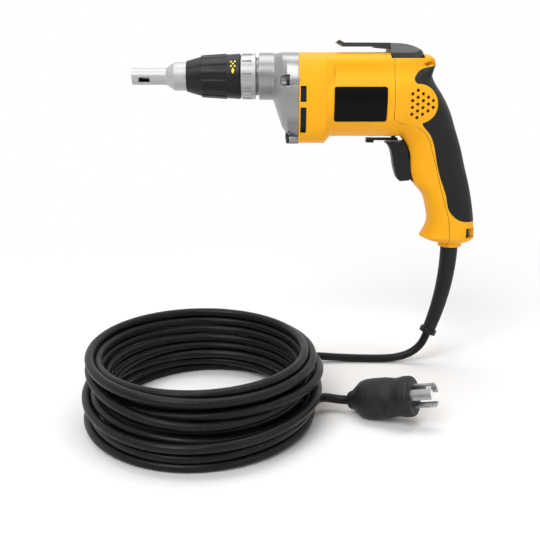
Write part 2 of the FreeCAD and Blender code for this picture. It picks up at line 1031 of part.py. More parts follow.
def shells():
    """Motor housing, handle cover and rubber grip."""
    body = outer_body().cut(hollow())
    rear_half = rear_zone(parting_gap / 2)
    housing = body.cut(rear_zone(-parting_gap / 2))
    cover = body.common(rear_half)
    skin = joined([barrel(0, 0, True), handle(0, False)])
    skin = skin.cut(joined([barrel(grip_thickness, 0, True), handle(grip_thickness, False)]))
    grip = skin.common(grip_zone()).common(rear_half)
    cover = cover.cut(grip)
    shared = shared_cuts()
    housing = housing.cut(shared)
    housing = housing.cut(exhaust_slots())
    housing = housing.cut(trigger_slot())
    lever_hole = post(lever_pivot_x, 0, -lever_top_drop - overrun, -lever_top_drop + lever_pin_height,
                      lever_pin_radius + run_fit)
    housing = housing.cut(lever_hole)
    for y, z, radius in case_screw_spots():
        housing = housing.cut(rod(-overrun, screw_length, screw_radius + run_fit, y, z))
    for side in SIDES:
        housing = housing.cut(clamp_screw(side, run_fit))
        cover = cover.cut(clamp_screw(side, run_fit))
    cover = cover.cut(shared + foot_notches() + vent_holes())
    grip = grip.cut(shared + foot_notches())
    return housing, cover, grip


def name_plates():
    """Two bare plates that follow the barrel's sides."""
    skin = barrel(-plate_thickness - run_fit, 0, False).cut(barrel(-run_fit, -overrun, False))
    rear = plate_front + plate_length
    low = -plate_top_drop - plate_height
    window = block(plate_front, rear, -far, far, low, -plate_top_drop)
    corners = []
    for edge in window.Edges:
        if edge.BoundBox.YLength > far:
            corners.append(edge)
    return skin.common(window.makeFillet(plate_corner, corners))


def neck_outline(radius):
    turns = [2 * math.pi * i / case_neck_points for i in range(case_neck_points)]
    return [(radius * math.sin(t), radius * math.cos(t)) for t in turns]


def case_bell(depth, shift, end):
    """Flared part of the gear case, moved in by a depth and back by a shift."""
    neck_end = case_front + case_neck_length
    outline = neck_outline(case_neck_radius - depth - case_bell_sink)
    wires = [smooth_loop([V(neck_end + shift - case_bell_sink, y, z) for y, z in outline])]
    for forward, drop, width in case_station_shares:
        x = -forward * case_length + shift if forward else end
        wires.append(section(
            x, front_outline_shares, width * case_half_width, case_top, -drop * case_bottom, depth))
    return Part.makeLoft(wires, True, True)


def gear_case():
    neck_end = case_front + case_neck_length
    solid = joined([
        case_bell(0, 0, 0),
        rod(case_front, neck_end, case_neck_radius),
        rod(ring_rear, case_front, groove_radius),
        rod(snout_front, ring_rear, snout_radius),
    ])
    space = joined([
        case_bell(case_wall, case_wall, overrun),
        rod(case_front + case_front_wall, neck_end + case_wall, case_neck_bore),
    ])
    scoops = []
    for y, z, radius in case_screw_spots():
        solid = joined([solid, rod(gear_case_seat, 0, radius, y, z)])
        shield = radius + case_wall
        space = space.cut(rod(-screw_scoop - case_wall, overrun, shield, y, z))
        scoops.append(rod(-screw_scoop, gear_case_seat, radius + body_gap, y, z))
        scoops.append(rod(-screw_scoop, overrun, screw_radius + seat_gap, y, z))
    solid = solid.cut(space).cut(scoops)
    groove = snout_front + retaining_ring_inset
    solid = solid.cut(rod(snout_front - overrun, case_front + case_front_wall + overrun, snout_bore))
    return solid.cut(ring(
        groove, groove + retaining_ring_width, snout_radius + overrun, snout_radius - retaining_ring_depth))


def case_screws():
    screws = []
    for y, z, radius in case_screw_spots():
        head_front = gear_case_seat - screw_head_height
        head = rod(head_front, gear_case_seat, screw_head_radius, y, z)
        slot = rod(head_front, head_front + screw_head_height / 2, screw_radius / 2, y, z)
        shank = rod(gear_case_seat, gear_case_seat + screw_length, screw_radius, y, z)
        screws.append(joined([head, shank]).cut(slot))
    return Part.makeCompound(screws)


def cover_screws():
    screws = []
    for x, y, z, grip in cover_screw_spots():
        head = rod(x, x + screw_head_height, screw_head_radius, y, z)
        slot = rod(x + screw_head_height / 2, x + screw_head_height, screw_radius / 2, y, z)
        shank = rod(x - grip, x, screw_radius, y, z)
        screws.append(joined([head, shank]).cut(slot))
    return Part.makeCompound(screws)


def nose_retaining_ring():
    groove = snout_front + retaining_ring_inset + run_fit
    outer = snout_radius - run_fit
    inner = snout_radius - retaining_ring_depth + run_fit
    whole = ring(groove, groove + retaining_ring_width - 2 * run_fit, outer, inner)
    return whole.cut(block(groove - overrun, groove + overrun, -body_gap, body_gap, 0, far))


def detent_ring():
    body = rod(ring_front, ring_rear - seat_gap, ring_root_radius)
    flange = rod(ring_rear - ring_flange - seat_gap, ring_rear - seat_gap, ring_radius)
    ribs = []
    for i in range(ring_rib_count):
        rib = block(
            ring_front + ring_rib_end, ring_rear - ring_flange, -ring_rib_width / 2, ring_rib_width / 2,
            0, ring_radius)
        rib.rotate(V(0, 0, 0), ALONG_X, FULL_TURN * i / ring_rib_count)
        ribs.append(rib)
    whole = joined([body, flange] + ribs).common(rod(ring_front, ring_rear, ring_radius))
    whole = whole.cut(rod(ring_front - overrun, ring_rear + overrun, snout_radius + run_fit))
    bottom = ring_front + ball_radius * 2 + detent_spring_length
    return whole.cut(rod(ring_front - overrun, bottom, ball_radius + run_fit, 0, ball_pitch_radius))


def detent_ball():
    return Part.makeSphere(ball_radius, V(ring_front - ball_proud + ball_radius, 0, ball_pitch_radius))


def biarc(p0, t0, p1, t1):
    """Two arcs that leave p0 along t0 and reach p1 along t1."""
    v = p1 - p0
    t = t0 + t1
    a = 2 * (1 - t0.dot(t1))
    b = v.dot(t)
    reach = v.dot(v) / (b + math.sqrt(b * b + a * v.dot(v)))
    middle = (p0 + t0 * reach + p1 - t1 * reach) * 0.5
    return [bow(p0, t0, middle), bow(p1, t1 * -1, middle, True)]


def bow(start, heading, end, turned_round=False):
    """Arc from a start along a heading to an end."""
    chord = end - start
    along = V(chord)
    along.normalize()
    side = heading - along * heading.dot(along)
    if side.Length == 0:
        return Part.makeLine(end, start) if turned_round else Part.makeLine(start, end)
    lean = math.atan2(side.Length, heading.dot(along))
    side.normalize()
    crest = start + chord * 0.5 + side * (chord.Length / 2 * math.tan(lean / 2))
    points = (end, crest, start) if turned_round else (start, crest, end)
    return Part.Arc(*points).toShape()


def swept(edges, start, heading, radius):
    """Round tube along edges."""
    circle = Part.Wire(Part.makeCircle(radius, start, heading))
    return Part.Wire(edges).makePipeShell([circle], True, False)


def wound(place, turns, lead_in):
    """Edges through a curve sampled every quarter turn, with straight ends, and its end headings."""
    steps = max(1, round(turns * 4))
    nudge = 1.0 / 2000
    spots = []
    for i in range(steps + 1):
        t = turns * i / steps
        low = max(0.0, t - nudge)
        high = min(turns, t + nudge)
        heading = place(high) - place(low)
        heading.normalize()
        spots.append((place(t), heading))
    first = spots[0]
    last = spots[-1]
    edges = []
    if lead_in:
        edges.append(Part.makeLine(first[0] - first[1] * lead_in, first[0]))
    for one, two in zip(spots, spots[1:]):
        edges += biarc(*one, *two)
    if lead_in:
        edges.append(Part.makeLine(last[0], last[0] + last[1] * lead_in))
    return edges, first, last


def spring(x0, x1, radius, wire, turns, y, z):
    """Plain wire spring along X between two faces."""
    low = x0 + wire / 2
    rise = (x1 - x0 - wire) / turns

    def place(t):
        turn = 2 * math.pi * t
        return V(low + rise * t, y + radius * math.sin(turn), z + radius * math.cos(turn))

    edges, first, last = wound(place, turns, 0)
    return swept(edges, first[0], first[1], wire / 2)


def detent_spring():
    start = ring_front - ball_proud + 2 * ball_radius + run_fit
    end = ring_front + 2 * ball_radius + detent_spring_length - run_fit
    radius = ball_radius - detent_wire
    return spring(start, end, radius, detent_wire, detent_spring_turns, 0, ball_pitch_radius)


def nose_sleeve():
    inner = snout_radius + run_fit
    return turned([
        (sleeve_front, sleeve_stem_bore), (sleeve_front, sleeve_stem_radius),
        (sleeve_shelf, sleeve_stem_radius), (sleeve_shelf, sleeve_radius),
        (collar_rear, sleeve_radius), (collar_rear, inner),
        (sleeve_shelf + sleeve_floor, inner), (sleeve_shelf + sleeve_floor, sleeve_stem_bore),
    ])


def depth_collar():
    step = sleeve_shelf - body_gap
    shoulder = collar_front + collar_shoulder
    collar = turned([
        (collar_front, 0), (collar_front, collar_front_radius),
        (shoulder, collar_shoulder_radius), (collar_rear - collar_lip, collar_rear_radius),
        (collar_rear, collar_rear_radius - collar_lip), (collar_rear, 0),
    ])
    flare = collar_rear_radius - collar_shoulder_radius
    slope = math.degrees(math.atan2(flare, collar_rear - collar_lip - shoulder))
    seat = collar_shoulder_radius + collar_rib_rise - collar_rib_radius
    ribs = []
    for i in range(collar_rib_count):
        rib = rod(shoulder, shoulder + collar_rib_end, collar_rib_radius, 0, seat)
        nose = Part.makeSphere(collar_rib_radius, V(shoulder, 0, seat))
        rib = joined([rib, nose])
        rib.rotate(V(shoulder, 0, seat), ALONG_Y, -slope)
        rib.rotate(V(0, 0, 0), ALONG_X, FULL_TURN * i / collar_rib_count)
        ribs.append(rib)
    collar = joined([collar] + ribs)
    collar = collar.cut(rod(collar_front - overrun, collar_rear + overrun, locator_radius + run_fit))
    collar = collar.cut(rod(step, collar_rear + overrun, sleeve_radius + run_fit))
    track_outer = ball_pitch_radius + ball_track_width / 2
    track_inner = ball_pitch_radius - ball_track_width / 2
    return collar.cut(ring(collar_rear - ball_track_depth, collar_rear + overrun, track_outer, track_inner))


def nose_locator():
    shelf = sleeve_front - locator_travel - body_gap
    locator = turned([
        (nose_tip, mouth_bore), (nose_tip, locator_tube_radius),
        (cone_front, locator_tube_radius), (band_front, locator_radius),
        (locator_rear, locator_radius), (locator_rear, sleeve_stem_radius + run_fit),
        (shelf, sleeve_stem_radius + run_fit), (shelf, locator_bore),
        (nose_tip + mouth_depth, locator_bore), (nose_tip + mouth_depth, mouth_bore),
    ])
    start = nose_tip + window_offset
    middle = -window_drop
    for side in SIDES:
        near = side * locator_bore / 2
        edge = side * far
        locator = locator.cut(block(
            start, start + window_length, min(near, edge), max(near, edge),
            middle - window_height / 2, middle + window_height / 2))
    return locator


def spindle():
    head = rod(head_front, head_rear, spindle_head_radius)
    whole = joined([head, rod(head_rear, spindle_rear, spindle_radius)])
    return whole.cut(rod(head_front - overrun, head_front + bit_shank_depth, bit_shank_radius + run_fit))


def spindle_bushing():
    start = snout_front + bushing_inset
    return ring(start, start + bushing_length, snout_bore - run_fit, spindle_radius + run_fit)


def bit_holder():
    body = rod(holder_front, head_front - seat_gap, bit_holder_radius)
    shank = rod(head_front - overrun, head_front + bit_shank_depth - seat_gap, bit_shank_radius)
    whole = joined([body, shank])
    depth = bit_socket_depth + magnet_length
    return whole.cut(rod(holder_front - overrun, holder_front + depth, bit_shank_radius + run_fit))


def bit_magnet():
    start = holder_front + bit_socket_depth + run_fit
    return rod(start, start + magnet_length - 2 * run_fit, bit_shank_radius)


def bit_tip():
    point = holder_front - bit_tip_reach
    neck = holder_front - bit_tip_reach / 2
    cone = point + bit_cone_length
    return turned([
        (point, 0), (point, bit_point_radius), (cone, bit_neck_radius), (neck, bit_neck_radius),
        (neck, bit_shank_radius), (holder_front + bit_socket_depth, bit_shank_radius),
        (holder_front + bit_socket_depth, 0),
    ])


def dogs(x0, x1):
    return [
        sector(x0, x1, dog_outer_radius, dog_inner_radius, FULL_TURN * i / dog_count, dog_angle)
        for i in range(dog_count)
    ]


def driven_clutch():
    disc = rod(clutch_front, clutch_rear, clutch_radius)
    whole = joined([disc] + dogs(clutch_rear - dog_height / 2, clutch_rear + dog_height))
    return whole.cut(rod(clutch_front - overrun, clutch_rear + overrun, spindle_radius + run_fit))


def spring_seat():
    start = clutch_rear + run_fit
    outer = clutch_spring_radius + clutch_wire / 2
    return ring(start, start + spring_seat_thickness, outer, spindle_radius + run_fit)


def clutch_spring():
    start = clutch_rear + spring_seat_thickness + 2 * run_fit
    return spring(start, gear_front - run_fit, clutch_spring_radius, clutch_wire, clutch_spring_turns, 0, 0)


def gear_outline(teeth, shift):
    """Outline of a spur gear in Y and Z, with one tooth at its top."""
    pitch = module * teeth / 2
    lean = math.radians(pressure_angle)
    base = pitch * math.cos(lean)
    tip = pitch + (addendum_share + shift) * module
    root = pitch - (dedendum_share - shift) * module
    start = max(root, base)
    half = (math.pi / 2 + 2 * shift * math.tan(lean) - backlash_share) / teeth
    flank = []
    for i in range(flank_steps + 1):
        r = start + (tip - start) * i / flank_steps
        a = math.acos(min(1.0, base / r))
        flank.append((r, half + math.tan(lean) - lean - math.tan(a) + a))
    if root < base:
        flank.insert(0, (root, flank[0][1]))
    points = []
    for tooth in range(teeth):
        middle = 2 * math.pi * tooth / teeth
        points += [(r, middle - turn) for r, turn in flank]
        points += [(r, middle + turn) for r, turn in reversed(flank)]
    return [(r * math.sin(turn), r * math.cos(turn)) for r, turn in points]


def toothed(teeth, shift, x0, x1, z):
    face = polygon_face([V(x0, py, z + pz) for py, pz in gear_outline(teeth, shift)])
    return face.extrude(V(x1 - x0, 0, 0))


def output_gear():
    wheel = toothed(gear_teeth, -tooth_shift_share, gear_front, gear_rear, 0)
    journal = rod(gear_rear - gear_width / 4, gear_rear + gear_journal_length, gear_journal_radius)
    whole = joined([wheel, journal] + dogs(gear_front - dog_height, gear_front + dog_height / 2))
    return whole.cut(rod(gear_front - dog_height, gear_front + gear_bore_depth, spindle_radius + run_fit))


def thrust_washer():
    return ring(gear_rear + seat_gap, -plate_depth - seat_gap, washer_radius, gear_journal_radius + seat_gap)


def bearing_plate():
    forward, drop, width = case_station_shares[1]
    outline = section(
        -plate_depth, front_outline_shares, width * case_half_width, case_top, -drop * case_bottom,
        case_wall + plate_margin)
    plate = Part.Face(outline).extrude(V(plate_depth, 0, 0))
    rear = bearing_start + bearing_width + seat_gap
    plate = joined([plate, rod(-plate_depth / 2, rear, bearing_radius + bearing_boss_wall, z=-motor_drop)])
    for y, z, radius in case_screw_spots():
        shield = radius + case_wall + plate_margin
        plate = plate.cut(rod(-overrun, overrun, shield, y, z))
    plate = plate.cut(rod(bearing_start, rear + overrun, bearing_radius + run_fit, z=-motor_drop))
    plate = plate.cut(rod(-overrun, overrun, shaft_radius + body_gap, z=-motor_drop))
    return plate.cut(rod(-overrun, gear_rear + gear_journal_length + seat_gap, gear_journal_radius + run_fit))


def ball_bearing(start, width, outer, inner, race):
    """Bearing as one ring, with the shields set back between its races."""
    low = start + bearing_recess
    high = start + width - bearing_recess
    end = start + width
    return turned([
        (start, inner), (start, inner + race), (low, inner + race), (low, outer - race),
        (start, outer - race), (start, outer), (end, outer), (end, outer - race),
        (high, outer - race), (high, inner + race), (end, inner + race), (end, inner),
    ], -motor_drop)


def armature_shaft():
    pinion_front = gear_front - seat_gap
    pinion = toothed(pinion_teeth, tooth_shift_share, pinion_front, gear_rear + body_gap, -motor_drop)
    main_part = rod(gear_rear + seat_gap, core_rear, shaft_radius, z=-motor_drop)
    rear = rod(core_rear, rear_bearing_start + rear_bearing_width, rear_shaft_radius, z=-motor_drop)
    return joined([pinion, main_part, rear])


def armature_core():
    core = ring(core_start, core_rear, core_radius, shaft_radius + run_fit, -motor_drop)
    slots = []
    for i in range(core_slots):
        middle = FULL_TURN * i / core_slots
        slots.append(sector(
            core_start - overrun, core_rear + overrun, core_radius + overrun, core_radius - core_slot_depth,
            middle, core_slot_angle, -motor_drop))
    return core.cut(slots)


def armature_windings():
    """End turns of the armature winding on both sides of the core."""
    places = (
        (core_start - seat_gap - winding_length, shaft_radius),
        (core_rear + seat_gap, rear_shaft_radius),
    )
    ends = []
    for start, inner in places:
        low = max(winding_inner_radius, inner + seat_gap)
        end = start + winding_length
        round_off = winding_length / 4
        ends.append(turned([
            (start, low), (start, winding_outer_radius - round_off),
            (start + round_off, winding_outer_radius),
            (end - round_off, winding_outer_radius), (end, winding_outer_radius - round_off), (end, low),
        ], -motor_drop))
    return Part.makeCompound(ends)


def commutator():
    end = commutator_start + commutator_length
    whole = ring(commutator_start, end, commutator_radius, rear_shaft_radius + run_fit, -motor_drop)
    return whole


def cooling_fan():
    end = fan_start + fan_width
    hub = rod(fan_start, end, fan_hub_radius, z=-motor_drop)
    back = rod(end - fan_back, end, fan_radius, z=-motor_drop)
    blades = []
    for i in range(fan_blades):
        half = fan_blade_thickness / 2
        blade = block(fan_start, end - fan_back / 2, -half, half, fan_hub_radius / 2, fan_radius - fan_back)
        blade.rotate(V(0, 0, 0), ALONG_X, FULL_TURN * i / fan_blades)
        blade.translate(V(0, 0, -motor_drop))
        blades.append(blade)
    whole = joined([hub, back] + blades)
    return whole.cut(rod(fan_start - overrun, end + overrun, shaft_radius + run_fit, z=-motor_drop))


def fan_baffle():
    outline = section(
        baffle_start, front_outline_shares, shroud_half_width, body_top, -shroud_drop, body_wall + body_gap)
    plate = Part.Face(outline).extrude(V(baffle_thickness, 0, 0))
    return plate.cut(rod(baffle_start - overrun, baffle_start + overrun, baffle_bore, z=-motor_drop))


def field_core():
    core = ring(core_start, core_rear, field_radius, core_radius + air_gap, -motor_drop)
    slots = [
        sector(core_start - overrun, core_rear + overrun, field_slot_radius, core_radius - air_gap,
               side * FULL_TURN / 4, field_slot_angle, -motor_drop)
        for side in SIDES
    ]
    return core.cut(slots)


def field_coils():
    """Two saddle-shaped coils round the poles."""
    coils = []
    for pole in (0, FULL_TURN / 2):
        whole = sector(
            core_start - coil_overhang, core_rear + coil_overhang, coil_outer_radius, coil_inner_radius,
            pole, coil_angle, -motor_drop)
        window = sector(core_start - seat_gap, core_rear + seat_gap, coil_outer_radius + overrun,
                        coil_inner_radius - overrun, pole, coil_window_angle, -motor_drop)
        coils.append(whole.cut(window))
    return Part.makeCompound(coils)


def brush_box(y0, y1, grow):
    """Box along Y at the brushes, mirrored to both sides."""
    low = -motor_drop - brush_height / 2 - grow
    first = block(brush_x - grow, brush_x + brush_width + grow, y0, y1, low, low + brush_height + 2 * grow)
    return [first, first.mirror(V(0, 0, 0), ALONG_Y)]


def brush_holders():
    start = commutator_radius + brush_holder_wall + body_gap
    end = start + brush_holder_length
    outer = brush_box(start, end, brush_holder_wall + run_fit)
    inner = brush_box(start - overrun, end - brush_holder_wall, run_fit)
    return Part.makeCompound([o.cut(i) for o, i in zip(outer, inner)])


def carbon_brushes():
    start = commutator_radius + brush_gap
    return Part.makeCompound(brush_box(start, start + brush_length, 0))


def brush_springs():
    start = commutator_radius + brush_gap + brush_length + run_fit
    end = commutator_radius + body_gap + brush_holder_length - run_fit
    radius = brush_width / 2 - brush_wire
    coil = spring(start, end, radius, brush_wire, brush_spring_turns, 0, 0)
    coil.rotate(V(0, 0, 0), ALONG_Z, FULL_TURN / 4)
    coil.translate(V(brush_x + brush_width / 2, 0, -motor_drop))
    return Part.makeCompound([coil, coil.mirror(V(0, 0, 0), ALONG_Y)])


def switch_body():
    low = -switch_top_drop - switch_height
    half = switch_half_width
    body = block(switch_front, switch_front + switch_length, -half, half, low, -switch_top_drop)
    neck = trigger_stem_radius + trigger_wire
    body = joined([body, block(
        switch_front + switch_length / 4, switch_front + switch_length, -half / 2, half / 2,
        low - neck, low + neck)])
    bore_end = switch_front + switch_length - neck
    bore_radius = trigger_stem_radius + seat_gap
    return body.cut(rod(switch_front - overrun, bore_end, bore_radius, z=-trigger_stem_drop))


def trigger():
    points = [
        (trigger_front + along * trigger_depth, -trigger_top_drop - down * trigger_height)
        for along, down in trigger_outline_shares
    ]
    finger = slab_xz(points, trigger_half_width)
    count = trigger_face_count
    front = [V(x, 0, z) for x, z in points[:count]]
    edges = []
    for edge in finger.Edges:
        if edge.Length < 2 * trigger_half_width and abs(edge.CenterOfMass.y) > trigger_half_width / 2:
            middle = V(edge.CenterOfMass.x, 0, edge.CenterOfMass.z)
            if any(middle.distanceToPoint((a + b) * 0.5) < run_fit for a, b in zip(front, front[1:])):
                edges.append(edge)
    finger = finger.makeFillet(trigger_edge, edges)
    start = trigger_front + trigger_depth * trigger_stem_share
    stem = rod(start, start + trigger_stem_length, trigger_stem_radius, z=-trigger_stem_drop)
    return joined([finger, stem])


def trigger_spring():
    return spring(trigger_spring_front, switch_front - seat_gap, trigger_spring_radius, trigger_wire,
                  trigger_spring_turns, 0, -trigger_stem_drop)


def reversing_lever():
    low = -lever_top_drop - lever_thickness
    half = lever_half_width
    bar = block(lever_front, lever_pivot_x, -half, half, low, -lever_top_drop)
    tail = post(lever_pivot_x, 0, low, -lever_top_drop, lever_tail)
    knob_low = -lever_top_drop - lever_knob_height
    knob_rear = lever_front + lever_knob_length
    knob = block(lever_front, knob_rear, -lever_tail, lever_tail, knob_low, -lever_top_drop)
    top = -lever_top_drop + lever_pin_height
    pin = post(lever_pivot_x, 0, low, top, lever_pin_radius)
    flange = post(lever_pivot_x, 0, top - lever_flange_height, top, lever_flange_radius)
    return joined([bar, tail, knob, pin, flange])


def clamp_screw(side, grow):
    seat = relief_top_x + clamp_rear
    y = side * clamp_screw_y
    return rod(seat - clamp_screw_length - grow, seat, clamp_screw_radius + grow, y, -clamp_drop)


def cord_clamp():
    low = -clamp_drop - clamp_height / 2
    front = relief_top_x - cord_radius + seat_gap
    high = low + clamp_height
    strap = block(front, relief_top_x + clamp_rear, -clamp_half_width, clamp_half_width, low, high)
    strap = strap.cut(post(relief_top_x, 0, low - overrun, high + overrun, cord_radius + run_fit))
    for side in SIDES:
        strap = strap.cut(clamp_screw(side, seat_gap))
    return strap


def cord_clamp_screws():
    seat = relief_top_x + clamp_rear
    screws = []
    for side in SIDES:
        head = rod(seat, seat + clamp_screw_head_height, clamp_screw_head, side * clamp_screw_y, -clamp_drop)
        screws.append(joined([head, clamp_screw(side, 0)]))
    return Part.makeCompound(screws)


def relief_spot(share):
    """Place and heading on the strain relief's bend, from its top to its end."""
    run = relief_top_x - relief_end_x
    fall = relief_end_drop - relief_top_drop
    bend = 2 * math.atan2(run, fall)
    radius = fall / math.sin(bend)
    turn = bend * share
    place = V(relief_top_x - radius * (1 - math.cos(turn)), 0, -relief_top_drop - radius * math.sin(turn))
    return place, V(-math.sin(turn), 0, -math.cos(turn))


def relief_circle(share, radius):
    place, heading = relief_spot(share)
    return Part.Wire(Part.makeCircle(radius, place, heading))


def relief_path(top):
    """Edges from a height above the strain relief to its end."""
    start = relief_spot(0)[0]
    return [
        Part.makeLine(V(relief_top_x, 0, top), start),
        Part.Arc(start, relief_spot(0.5)[0], relief_spot(1)[0]).toShape(),
    ]


def strain_relief():
    fall = relief_end_drop - relief_top_drop
    flange_share = 1 - relief_flange_length / fall
    sleeve = Part.makeLoft([relief_circle(share, radius) for share, radius in (
        (0, relief_top_radius), (relief_mid_share / 2, (relief_top_radius + relief_mid_radius) / 2),
        (relief_mid_share, relief_mid_radius),
        ((1 + relief_mid_share) / 2, (relief_mid_radius + relief_low_radius) / 2),
        (1, relief_low_radius))], True)
    flange = Part.makeLoft([
        relief_circle(flange_share, relief_flange_radius), relief_circle(1, relief_flange_radius)], True)
    top = -relief_top_drop + relief_rise
    stem = post(relief_top_x, 0, -relief_top_drop, top, relief_top_radius)
    shoulder = post(relief_top_x, 0, top - relief_shoulder_height, top, relief_shoulder_radius)
    bore_top = V(relief_top_x, 0, top + overrun)
    bore = swept(relief_path(top + overrun), bore_top, V(0, 0, -1), cord_radius + run_fit)
    end, heading = relief_spot(1)
    mouth = Part.makeCylinder(cord_radius + run_fit, overrun, end, heading)
    return joined([sleeve, flange, stem, shoulder]).cut(bore).cut(mouth)


def floor_spot(point):
    """Point given by X, Y and height over the floor."""
    return V(point[0], point[1], point[2] - floor_drop)


def rounded_route(points):
    """Straight runs joined by tangent arcs, each as large as its two runs allow."""
    edges = []
    radii = []
    last = points[0]
    for i in range(1, len(points) - 1):
        corner = points[i]
        into = corner - points[i - 1]
        out = points[i + 1] - corner
        first_share = 0.9 if i == 1 else 0.45
        last_share = 0.9 if i == len(points) - 2 else 0.45
        reach = min(first_share * into.Length, last_share * out.Length)
        into.normalize()
        out.normalize()
        turn = math.acos(into.dot(out))
        radii.append(reach / math.tan(turn / 2))
        start = corner - into * reach
        end = corner + out * reach
        edges.append(Part.makeLine(last, start))
        edges.append(bow(start, into, end))
        last = end
    edges.append(Part.makeLine(last, points[-1]))
    return edges, radii


def coil_spot(t):
    """Place on the coil after t turns: down the outside, up the inside and down the outside."""
    down = coil_lead_row - 1
    up = down + coil_rows - 1
    row = abs(t - down) if t < up else coil_rows - 1 - (t - up)
    inner = coil_radius - coil_layer_step

    def blend(middle):
        return 0.5 - 0.5 * math.cos(math.pi * min(1.0, max(0.0, (t - middle) * 2 + 0.5)))

    radius = coil_radius + (inner - coil_radius) * (blend(down) - blend(up))
    turn = math.radians(coil_start_angle) + 2 * math.pi * t
    sway = math.radians(coil_sway_start + coil_sway_angle * row)
    x = coil_centre_x + radius * math.cos(turn) + coil_sway * math.cos(sway)
    y = coil_centre_y + coil_depth_share * radius * math.sin(turn) + coil_sway * math.sin(sway)
    return floor_spot((x, y, cord_radius + row * coil_row_step))


def coil_turns():
    down = coil_lead_row - 1
    up = down + coil_rows - 1
    return up + coil_rows - coil_lead_row - 1 + (coil_end_angle - coil_start_angle) / FULL_TURN


def print_coil_gap(edges):
    """Least gap of the coil to itself, measured on points a few millimetres apart."""
    points = []
    along = 0.0
    for edge in edges:
        count = max(2, int(edge.Length / gap_step))
        piece = edge.discretize(count + 1)[:-1]
        for i, point in enumerate(piece):
            points.append((along + edge.Length * i / count, point))
        along += edge.Length
    least = far
    grid = {}
    for s, p in points:
        cell = (int(p.x // cord_diameter), int(p.y // cord_diameter))
        grid.setdefault(cell, []).append((s, p))
    for (i, j), here in grid.items():
        for di in (-2, -1, 0, 1, 2):
            for dj in (-2, -1, 0, 1, 2):
                for s, p in here:
                    for s2, p2 in grid.get((i + di, j + dj), ()):
                        if s2 - s > coil_radius:
                            least = min(least, p.distanceToPoint(p2))
    print("coil least gap", round(least - cord_diameter, 3), "length", round(along))


def print_tube(name, tube, edges):
    length = sum(edge.Length for edge in edges)
    share = tube.Volume / (math.pi * cord_radius ** 2 * length)
    print(name, "length", round(length, 1), "volume over section times length", round(share, 5))


def cord_pieces():
    """Lead, coil and tail of the cord."""
    edges, first, last = wound(coil_spot, coil_turns(), cord_diameter)
    start = first[0] - first[1] * cord_diameter
    coil = swept(edges, start, first[1], cord_radius)
    print_coil_gap(edges)
    print_tube("cord_coil", coil, edges)
    top = -clamp_drop + clamp_height + cord_inner_length
    end, heading = relief_spot(1)
    route = [end, end + heading * lead_first_run] + [floor_spot(point) for point in lead_points]
    route += [start - first[1] * lead_last_run, start]
    run, radii = rounded_route(route)
    lead_edges = relief_path(top) + run
    lead = swept(lead_edges, V(relief_top_x, 0, top), V(0, 0, -1), cord_radius)
    print("lead radii", [round(r, 1) for r in radii])
    print_tube("cord_lead", lead, lead_edges)
    leave = last[0] + last[1] * cord_diameter
    entry = plug_entry()
    route = [leave, leave + last[1] * tail_first_run, entry - plug_axis() * tail_last_run, entry]
    run, radii = rounded_route(route)
    tail = swept(run, leave, last[1], cord_radius)
    print("tail radii", [round(r, 1) for r in radii])
    print_tube("cord_tail", tail, run)
    return {"cord_lead": lead, "cord_coil": coil, "cord_tail": tail}


def plug_entry():
    return floor_spot((plug_entry_x, plug_entry_y, plug_entry_height))


def plug_axis():
    """Heading of the plug, which lies tilted up towards its blades."""
    turn = math.radians(plug_heading)
    pitch = math.radians(plug_pitch)
    flat = math.cos(pitch)
    return V(flat * math.cos(turn), flat * math.sin(turn), math.sin(pitch))


def plug_blade(i, grow):
    roll = blade_roll + FULL_TURN * i / blade_count
    outer = blade_ring_radius + blade_thickness / 2 + grow
    inner = blade_ring_radius - blade_thickness / 2 - grow
    end = plug_length + blade_length
    spread = math.degrees(2 * grow / inner)
    blade = sector(plug_length - blade_root - grow, end, outer, inner, roll, blade_angle + spread)
    middle = roll + (blade_angle + blade_hook_angle) / 2
    hook = sector(end - blade_hook_length, end, outer, inner, middle, blade_hook_angle)
    return joined([blade, hook])


def plug_pieces():
    """Plug body, face and blades, built along X and then laid on the floor."""
    profile = [(along * plug_length, up * plug_radius) for along, up in plug_profile_shares]
    profile += [(plug_length, 0), (0, 0)]
    body = turned(profile)
    seat = plug_length - plug_face_depth
    body = body.cut(rod(seat, plug_length + overrun, plug_face_radius + run_fit))
    for i in range(plug_dimple_count):
        turn = math.radians(plug_dimple_start + FULL_TURN * i / plug_dimple_count)
        reach = plug_radius + plug_dimple_radius - plug_dimple_depth
        spot = V(plug_length * plug_dimple_share, reach * math.sin(turn), reach * math.cos(turn))
        body = body.cut(Part.makeSphere(plug_dimple_radius, spot))
    face = rod(seat + run_fit, plug_length, plug_face_radius)
    blades = []
    for i in range(blade_count):
        face = face.cut(plug_blade(i, run_fit))
        blades.append(plug_blade(i, 0))
    pieces = {"plug_body": body, "plug_face": face, "plug_blades": Part.makeCompound(blades)}
    for shape in pieces.values():
        shape.rotate(V(0, 0, 0), ALONG_Y, -plug_pitch)
        shape.rotate(V(0, 0, 0), ALONG_Z, plug_heading)
        shape.translate(plug_entry())
    return pieces


